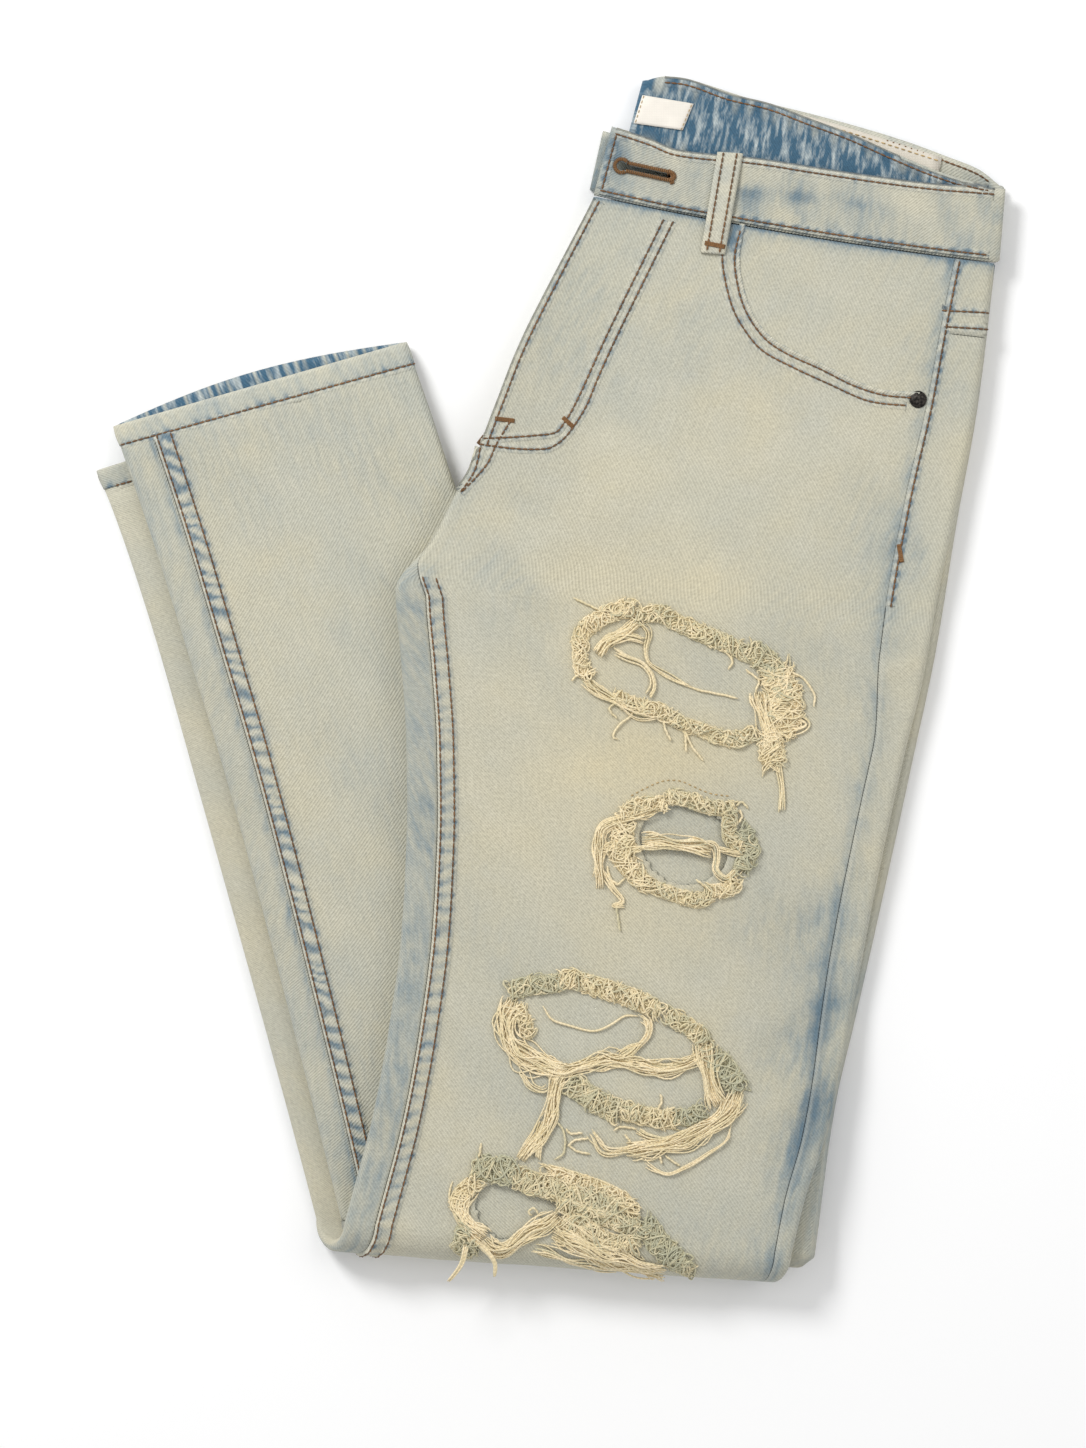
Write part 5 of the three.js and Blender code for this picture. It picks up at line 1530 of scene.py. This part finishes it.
def mat_yarns(line, width, radius, rng):
    """Short yarns matted across a line: strands that cross it, and curled loops."""
    line = spline(line, YARN_STEP)
    tangent, normal = frame_of(line)
    length = YARN_STEP * (len(line) - 1)
    width *= MAT_SPREAD
    count = int(length * width / (radius * 9))
    u = np.linspace(0, 1, 13)
    paths, radii = [], []
    for k in range(count):
        share = rng.uniform(-0.02, 1.02)
        side = rng.choice([-1, 1])
        if k % 5 == 4:
            across = width * (rng.uniform(-0.4, 0.4) + rng.uniform(0.05, 0.16) * np.sin(
                u * rng.uniform(5, 12) + rng.uniform(0, 6)))
            curl = rng.uniform(4, 9) * (u - 0.5)
            drift = curl + rng.uniform(0.3, 1.2) * np.sin(u * 9 + rng.uniform(0, 6))
        elif k % 5 < 2:
            reach = rng.uniform(0.3, 0.55) * width
            across = np.linspace(-reach, reach, 13) * side + rng.normal(0, 0.12) * width
            drift = rng.normal(0, 0.5) * width * (u - 0.5) + rng.uniform(0.2, 1) * np.sin(
                u * rng.uniform(4, 8) + rng.uniform(0, 6))
        else:
            turn = rng.uniform(0, 6.3) + u * rng.uniform(2.6, 5.2) * side
            wide, long = rng.uniform(1.0, 3.2), rng.uniform(1.6, 0.32 * width + 1.4)
            lean = rng.normal(0, 0.6)
            across = rng.uniform(-0.32, 0.32) * width + long * np.cos(turn)
            drift = wide * np.sin(turn) + lean * long * np.cos(turn)
        limit = width * rng.uniform(0.5, 0.62)
        across = limit * np.tanh(across / limit)
        along = share + drift / length
        place = at_share(line, along) + at_share(normal, along) * across[:, None]
        place += at_share(tangent, along) * (
            np.clip(along, None, 0) + np.clip(along - 1, 0, None))[:, None] * length
        crown = (1 - 0.8 * (across / (0.62 * width)) ** 2).clip(0.15, 1)
        rise = (0.2 + 2.6 * (k / count)) * crown + rng.uniform(0, 0.4) * np.sin(u * 5 + rng.uniform(0, 6))
        paths.append(lifted(place, np.maximum(rise, 0.1) + radius))
        thick = radius * rng.uniform(0.7, 1.15)
        radii.append(thick * taper(u, 0.4, 4))
    return np.array(paths), np.array(radii)


def bundle_yarns(line, width, radius, rng):
    """Yarns that run together along a line, crossing and fraying out at its ends."""
    line = spline(line, YARN_STEP)
    normal = frame_of(line)[1]
    width *= BUNDLE_SPREAD
    count = max(3, int(width / radius * 0.95))
    u = np.linspace(0, 1, 28)
    paths, radii = [], []
    length = YARN_STEP * (len(line) - 1)
    for _ in range(count):
        lane = rng.uniform(-0.5, 0.5) * width
        waves = sum(rng.normal(0, 0.08) * np.sin(2 * np.pi * f * u * length / 40 + rng.uniform(0, 6))
                    for f in (0.5, 1.1, 1.8))
        across = (lane + waves * width) * (1 + 0.25 * np.sin(2 * np.pi * u * length / 34 + 1))
        start, end = rng.uniform(0, 0.12), 1 - rng.uniform(0, 0.12)
        along = start + (end - start) * u
        place = at_share(line, along) + at_share(normal, along) * across[:, None]
        crown = np.sqrt(np.clip(1 - (across / (0.65 * width + 0.3)) ** 2, 0.02, 1))
        rise = 0.3 + rng.uniform(0.25, 1) * crown * min(2.3, 0.5 + width * 0.3)
        rise = rise + 0.2 * np.sin(u * length / rng.uniform(2.5, 6) + rng.uniform(0, 6))
        paths.append(lifted(place, np.maximum(rise, 0.1) + radius))
        thick = radius * rng.uniform(0.7, 1.15)
        radii.append(thick * taper(u, 0.45, 8))
    return np.array(paths), np.array(radii)


def core_yarns(line, width, thick):
    """Fat soft yarns side by side, which fill a mat or a bundle from below."""
    line = spline(line, YARN_STEP)
    normal = frame_of(line)[1]
    u = np.linspace(0.02, 0.98, 24)
    lanes = np.arange(-0.36, 0.37, 1.1 / width) * width
    place = at_share(line, u)[None] + at_share(normal, u)[None] * lanes[:, None, None]
    sag = 0.25 * np.sin(u * 23 + lanes[:, None] * 2) + 0.3 - 0.5 * (2 * lanes[:, None] / width) ** 2
    thick = thick * taper(u, 0.3, 6) * np.ones((len(lanes), 1))
    return lifted(place, np.maximum(sag, -0.2) + 0.3), thick


def loose_yarns(lines, radius):
    """Single yarns that lie on their own."""
    paths, radii = [], []
    u = np.linspace(0, 1, 26)
    for line in lines:
        fine = spline(line, 0.5)
        place = at_share(fine, u) + 0.12 * np.stack([np.sin(u * 19 + len(fine)), np.cos(u * 23)], -1)
        rise = 0.5 + 0.5 * np.sin(u * 7 + len(fine)) ** 2
        paths.append(lifted(place, rise + radius))
        radii.append(radius * 1.35 * taper(u, 0.45, 6))
    return np.array(paths), np.array(radii)


def tail_yarns(lines, radius, rng):
    """Thick threads that hang past the fold's edge."""
    paths, radii = [], []
    u = np.linspace(0, 1, 26)
    for line in lines:
        fine = spline(line, 0.5)
        for _ in range(5):
            place = at_share(fine, u) + rng.normal(0, 0.8, 2) * (1 - 0.6 * u)[:, None]
            base = top_height(fine[0, 0], fine[0, 1])
            z = base + 1 + rng.uniform(0, 1) - 4.5 * u ** 2
            paths.append(np.concatenate([place, z[:, None]], -1))
            radii.append(radius * 1.2 * taper(u, 0.45, 6))
    return np.array(paths), np.array(radii)


class JEANS_OT_rip_backings(bpy.types.Operator):
    """Makes the cloth sewn behind each rip"""

    bl_idname = "jeans.rip_backings"
    bl_label = "Cloth behind the rips"

    def execute(self, context):
        for key, rip in RIPS.items():
            (x0, y0), (x1, y1) = np.min(rip["opening"], axis=0) - 8, np.max(rip["opening"], axis=0) + 8
            y0 = max(y0, -291)
            rows = np.linspace(y1, y0, int((y1 - y0) / 2) + 2)
            line = np.array(closed_spline(rip["opening"], 2))

            def level(x, y):
                """Under the panel, and nearly level with it inside the opening."""
                away = near_line(x, y, closed(line))[0]
                rise = smooth(away / 3) * inside(x, y, line)
                return top_height(x, y) - 1.8 + rise * (1.5 + 0.3 * soft_noise(x, y, 14, 61))

            def pale(x, y):
                return cast_of(0.12 + 0.15 * soft_noise(x + y, y * 0.4, 12, 62))

            made = plate("rip_patch_" + key, [(x0, y) for y in rows], [(x1, y) for y in rows],
                         int((x1 - x0) / 2) + 2, lambda x, y: level(x, y) - 1.0, level,
                         washed_denim(), "rip_backing_" + key, pale)
        return {"FINISHED"}


class JEANS_OT_frays(bpy.types.Operator):
    """Makes the yarn frayed out round each rip"""

    bl_idname = "jeans.frays"
    bl_label = "Frayed yarn"

    def execute(self, context):
        radius = context.scene.jeans_yarn.radius / MM
        for number, (key, rip) in enumerate(RIPS.items()):
            rng = np.random.default_rng(100 + number)
            groups, tones = [], []
            for kind, fill, maker in (("mats", MAT_SPREAD, mat_yarns), ("bundles", 1, bundle_yarns)):
                for tone, width, line in rip[kind]:
                    made = [maker(line, width, radius, rng)]
                    if width > 4:
                        made.append(core_yarns(line, width * fill, 1.5 * radius))
                    groups += made
                    tones += [np.array([tone_cast(tone, rng) for _ in paths]) for paths, _ in made]
            made = loose_yarns(rip["loose"], radius)
            groups.append(made)
            tones.append(np.array([tone_cast(0.1, rng) for _ in made[0]]))
            if "tails" in rip:
                made = tail_yarns(rip["tails"], radius, rng)
                groups.append(made)
                tones.append(np.array([tone_cast(0.15, rng) for _ in made[0]]))
            yarn = tube_piece("frayed_yarn_" + key, groups, 4, spun_yarn(), tones)
            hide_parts("rip_fray_" + key)
        return {"FINISHED"}


# ------------------------------------------------------------------ topstitching
def row_on_leg(leg, s, p, relief):
    """A line on a leg's cloth and its outward normals."""
    points = leg.cloth(s, p, 0.0, relief)
    return points, points - leg.cloth(s, p, 1.0, relief)


def offset_line(line, distance):
    """A smooth line beside another."""
    fine = spline(line, 1.5)
    return fine + frame_of(fine)[1] * distance


# Across a row of stitches: how far each line lies to the side, and its height, blue and worn.
# # The blue of the middle line is a painted shadow line in the groove where the stitches lie.
WELT_ROWS = (-3.4, -2.2, -1.1, 0.0, 1.1, 2.2, 3.4)
WELT = ((-0.5, 0, 0), (0.15, 0.1, 0.1), (0.5, 0.25, 0.3), (0.0, 1.1, 0), (0.5, 0.4, 0.2),
        (0.15, 0.2, 0.1), (-0.5, 0, 0))
FELL_ROWS = (-1.3, -0.9, -0.5, 0.0, 1.1, 2.2, 3.4)
# A pocket mouth's lip, across it: the rows, and each one's height, blue and worn. Its last row is a painted
# shadow between the lip and the facing below.
LIP_ROWS = (-2.6, -1.6, -0.7, 0.1, 0.7)
LIP = ((-0.4, 0, 0), (0.5, 0.05, 0.1), (1.05, 0.1, 0.5), (0.85, 0.3, 0.3), (-1.2, 1.0, 0))
MIDDLE = 3  # which line of a welt the stitches lie on
BACK_ROW = 0.93  # where the stitches of the waistband's back lie, from its seam to its top
HEM_POINTS = 220  # along a hem's row of stitches
STITCH_LIFT = 0.1
OUTER_ROW = 1.8  # from the edge of a felled seam to its first row of stitches

# Pitch, length and width of the stitches that are not topstitching.
BARTACK = (1.0, 2.4, 1.1)
BUTTONHOLE_STITCH = (2.0, 2.7, 1.15)
BACKING_STITCH = (3.0, 1.6, 0.7)
PATCH_STITCH = (3.6, 2.4, 0.8)
LABEL_STITCH = (2.6, 1.8, 0.5)
BARTACKS = [
    [(181, 70), (182.5, 61)], [(-29, 135), (-19.5, 134)], [(6, 136), (11.5, 131)],
    [(61, 265), (63, 258)], [(80, 227), (90, 225)], [(-38, 122.5), (-35, 126.5)],
]
FACING_ROWS = [[(203.3, 191.9), (227.5, 190.8)], [(203.3, 183.6), (227, 182.2)]]


def sew_line(surface, line, height, stitch):
    """Stitches along a smooth line laid on a surface, at a height where they miss it."""
    return stitches(*surface.lay(spline(line, 1.0), height)[:2], *stitch)


class JEANS_OT_topstitching(bpy.types.Operator):
    """Sews the rows of topstitching, bartacks and buttonhole"""

    bl_idname = "jeans.topstitching"
    bl_label = "Topstitching"

    def execute(self, context):
        look = context.scene.jeans_thread
        topstitch = [size / MM for size in (look.pitch, look.length, look.width)]
        brown = sewing_thread("spun_polyester_topstitch_thread", look.brown)
        dark = sewing_thread("spun_polyester_bartack_thread", look.dark)
        faded = sewing_thread("faded_cotton_patch_thread", look.pale)
        panels = Surface("left_front_panel", "left_back_panel", "left_yoke")
        band = Surface("waistband_ribbon")
        groups, welts = [], []

        def sew_over(surface, line):
            """A row of stitches in a welt, laid on a surface from above."""
            fine = spline(line, 1.6)
            side = frame_of(fine)[1]
            rows = [surface.lay(fine + side * away, 20) for away in WELT_ROWS]
            points, normals = rows[MIDDLE][:2]
            for row in rows:  # beyond an edge of the cloth the welt keeps to the seam's own height
                beyond = np.abs(row[0][:, 2] - points[:, 2]) > 1.5
                row[0][beyond, 2] = points[beyond, 2]
                row[1][beyond] = normals[beyond]
            welts.append(welt(rows, WELT, 0.35))
            groups.extend(stitches(points + normals * STITCH_LIFT, normals, *topstitch))

        def sew_on_leg(leg, s, p, relief, turned=False, across=WELT_ROWS):
            """A row of stitches in a welt along a leg, or turned to run round it."""
            rows = []
            for away in across:
                at_s = s + away / CALF_LENGTH if turned else s
                at_p = p if turned else p + away
                points, normals = row_on_leg(leg, at_s, at_p, relief)
                cast = thigh_cast if leg is LEFT else calf_cast
                tint = cast(points[:, 0], points[:, 1], at_s, at_p, leg)
                rows.append((points, normals, tint, cloth_place(at_s, at_p)))
            points, normals = rows[MIDDLE][:2]
            welts.append(welt(rows, WELT, 0.4))
            groups.extend(stitches(points + normals * STITCH_LIFT, normals, *topstitch))

        for leg, s, relief, inner_row in (
                (LEFT, np.linspace(CORNER - 0.02, 1.7, 300), left_relief, 8.8),
                (RIGHT, np.linspace(2.05, HEM_START, 270), right_relief, FELL_WIDTH + OUTER_ROW)):
            for inward in (OUTER_ROW, inner_row):
                sew_on_leg(leg, s, inseam(s) + inward, relief, across=FELL_ROWS)
        s = np.linspace(0.002, 0.352, 160)
        sew_on_leg(LEFT, s, LEFT.half(s) - outseam(s) + 2.6, left_relief)
        for leg in (LEFT, RIGHT):
            half = float(leg.half(np.float64(2.99)))
            p = np.linspace(half + 8 if leg is LEFT else 2, 2 * half - 8, HEM_POINTS)
            s = np.full(HEM_POINTS, HEM_START + 0.2 / CALF_LENGTH)
            sew_on_leg(leg, s, p, None, True)
        for line in (FLY_INNER, FLY_OUTER, FLY_EDGE, POCKET_INNER, POCKET_OUTER, CROTCH_UPPER,
                     CROTCH_LOWER, *FACING_ROWS):
            sew_over(panels, line)
        low, high = band_edges(BAND[0], np.linspace(0.012, 0.985, 60))
        for share in (0.085, 0.915):
            sew_over(band, between(low, high, share))
        low, high = band_edges(BAND[0], np.array([0.016, 0.016]))
        sew_over(band, [between(low[0], high[0], share) for share in (0.1, 0.9)])
        t = np.linspace(0.05, 0.97, 60)
        low, high = band_edges(BAND[1], t)
        sew_over(band, between(low, high, BACK_ROW))
        low, high = band_edges(BAND[2], t[40:])
        groups += stitches(*band.lay(between(low, high, BACK_ROW), 7)[:2], *topstitch)
        loop = Surface("belt_loop_strip")
        for share in (0.24, 0.76):
            line = [np.array(LOOP_LEFT[k]) * (1 - share) + np.array(LOOP_RIGHT[k]) * share for k in (0, 1)]
            groups += sew_line(loop, line, 16, topstitch)
        mouth = np.array(spline(POCKET_MOUTH, 1.3))
        side = frame_of(mouth)[1]
        rows = []
        for away in LIP_ROWS:
            at = mouth + side * away
            z = top_height(at[:, 0], at[:, 1])
            points = np.concatenate([at, z[:, None]], -1)
            cast = panels.lay(mouth - side * 3)[2]
            rows.append((points, np.tile([0, 0, 1.0], (len(at), 1)), cast, at))
        welts.append(welt(rows, LIP, 0.2))
        pressed = joined("pressed_seams", welts, washed_denim())
        seams = tube_piece("topstitching", groups, 5, brown)

        groups = []
        everything = Surface("left_front_panel", "left_back_panel", "left_yoke", "waistband_ribbon",
                             "belt_loop_strip")
        for bar in BARTACKS:
            for step in (-0.7, 0, 0.7):
                groups += stitches(*everything.lay(offset_line(bar, step), 16)[:2], *BARTACK)
        ring, rim = keyhole(1.5), keyhole(0.2)
        for point in even(closed(ring), 1.05):
            nearest = near_line(point[:1], point[1:], closed(rim))[1]
            ends = np.stack([point + (point - nearest[0]) * 0.3, nearest[0]])
            draped = band.lay(spline(ends, 0.6), 15.4)[0]
            draped[:, 2] = BAND[0]["high"] + LAYER_GAP
            groups += stitches(draped, np.tile([0, 0, 1.0], (len(draped), 1)), *BUTTONHOLE_STITCH)
        tacks = tube_piece("bartacks_and_buttonhole", [g for g in groups if len(g[0])], 5, dark)

        groups = sew_line(panels, PATCH_STITCHES, 30, BACKING_STITCH)
        card = Surface("waist_patch_card")
        for share in (0.1, 0.9):
            groups += sew_line(card, between(*np.array(WAIST_PATCH), share), 9, PATCH_STITCH)
        label = Surface("label_tape")
        for side, inward in zip(LABEL, (0.9, -0.9)):
            groups += sew_line(label, np.array(side) + (inward, 0), 13, LABEL_STITCH)
        sewn = tube_piece("patch_and_label_stitches", groups, 5, faded)
        return {"FINISHED"}


# ------------------------------------------------------------------ stage
CAMERA_HEIGHT = 2.985
SENSOR = 32.0  # in millimetres
VIEW_HEIGHT = 0.753  # seen at the height of the thigh
THIGH_TOP = 0.02
VIEW_CENTRE = (-0.0044, -0.0234)
FLOOR_REACH = 4.0
FLOOR_DROP = 0.0004  # below the cloth, so that the two never meet
# Each light: its name, place, size and share of the key light's power.
LIGHTS = [("key_light", (-1.1, 1.3, 1.7), 0.8, 1.0), ("fill_light", (1.4, 0.6, 1.8), 1.6, 0.22)]


def area_light(name, place, size, power):
    """A round light that shines at the middle of the bundle."""
    data = bpy.data.lights.new(name, "AREA")
    data.shape, data.size, data.energy = "DISK", size, power
    lamp = bpy.data.objects.new(name, data)
    bpy.context.scene.collection.objects.link(lamp)
    lamp.location = place
    lamp.rotation_euler = (-Vector(place)).to_track_quat("-Z", "Y").to_euler()


class JEANS_OT_stage(bpy.types.Operator):
    """Makes the floor, the lights and the camera"""

    bl_idname = "jeans.stage"
    bl_label = "Stage"

    def execute(self, context):
        look = context.scene.jeans_stage
        mesh = bpy.data.meshes.new("floor")
        corners = [(x * FLOOR_REACH, y * FLOOR_REACH, 0) for x, y in ((-1, -1), (1, -1), (1, 1), (-1, 1))]
        mesh.from_pydata(corners, [], [(0, 1, 2, 3)])
        floor = bpy.data.objects.new("floor", mesh)
        context.scene.collection.objects.link(floor)
        mesh.materials.append(matt_paper(look.floor))
        floor.location.z = -FLOOR_DROP
        for name, place, size, share in LIGHTS:
            area_light(name, place, size, look.key * share)
        world = bpy.data.worlds.new("studio")
        world.use_nodes = True
        sky = world.node_tree.nodes["Background"]
        sky.inputs["Color"].default_value = (1, 1, 1, 1)
        sky.inputs["Strength"].default_value = look.sky
        context.scene.world = world
        context.scene.view_settings.view_transform = "Standard"
        data = bpy.data.cameras.new("camera")
        camera = bpy.data.objects.new("camera", data)
        context.scene.collection.objects.link(camera)
        camera.location = (*VIEW_CENTRE, CAMERA_HEIGHT)
        data.sensor_fit, data.sensor_height = "VERTICAL", SENSOR
        data.lens = SENSOR * (CAMERA_HEIGHT - THIGH_TOP) / VIEW_HEIGHT
        context.scene.camera = camera
        return {"FINISHED"}


# ------------------------------------------------------------------ panel and run
STEPS = ["left_leg", "right_leg", "hems", "waistband", "fittings", "rip_backings", "frays",
         "topstitching", "stage"]


class JEANS_PT_panel(bpy.types.Panel):
    """Lists the pieces and their settings"""

    bl_idname = "JEANS_PT_panel"
    bl_label = "Folded Ripped Jeans"
    bl_space_type = "VIEW_3D"
    bl_region_type = "UI"
    bl_category = "Jeans"

    def draw(self, context):
        column = self.layout.column()
        for step in STEPS:
            column.operator("jeans." + step)
        for group in ("jeans_cloth", "jeans_yarn", "jeans_thread", "jeans_fittings", "jeans_stage"):
            settings = getattr(context.scene, group)
            for key in settings.bl_rna.properties.keys():
                if key not in ("rna_type", "name"):
                    column.prop(settings, key)


GROUPS = {"jeans_cloth": JeansCloth, "jeans_yarn": JeansYarn, "jeans_thread": JeansThread,
          "jeans_fittings": JeansFittings, "jeans_stage": JeansStage}
CLASSES = [*GROUPS.values(), JEANS_OT_left_leg, JEANS_OT_right_leg, JEANS_OT_hems, JEANS_OT_waistband,
           JEANS_OT_fittings, JEANS_OT_rip_backings, JEANS_OT_frays, JEANS_OT_topstitching,
           JEANS_OT_stage, JEANS_PT_panel]


def register():
    for kind in CLASSES:
        bpy.utils.register_class(kind)
    for name, kind in GROUPS.items():
        setattr(bpy.types.Scene, name, bpy.props.PointerProperty(type=kind))


def unregister():
    for name in GROUPS:
        delattr(bpy.types.Scene, name)
    for kind in reversed(CLASSES):
        bpy.utils.unregister_class(kind)


def main():
    register()
    for step in STEPS:
        getattr(bpy.ops.jeans, step)()


if __name__ == "__main__":
    main()
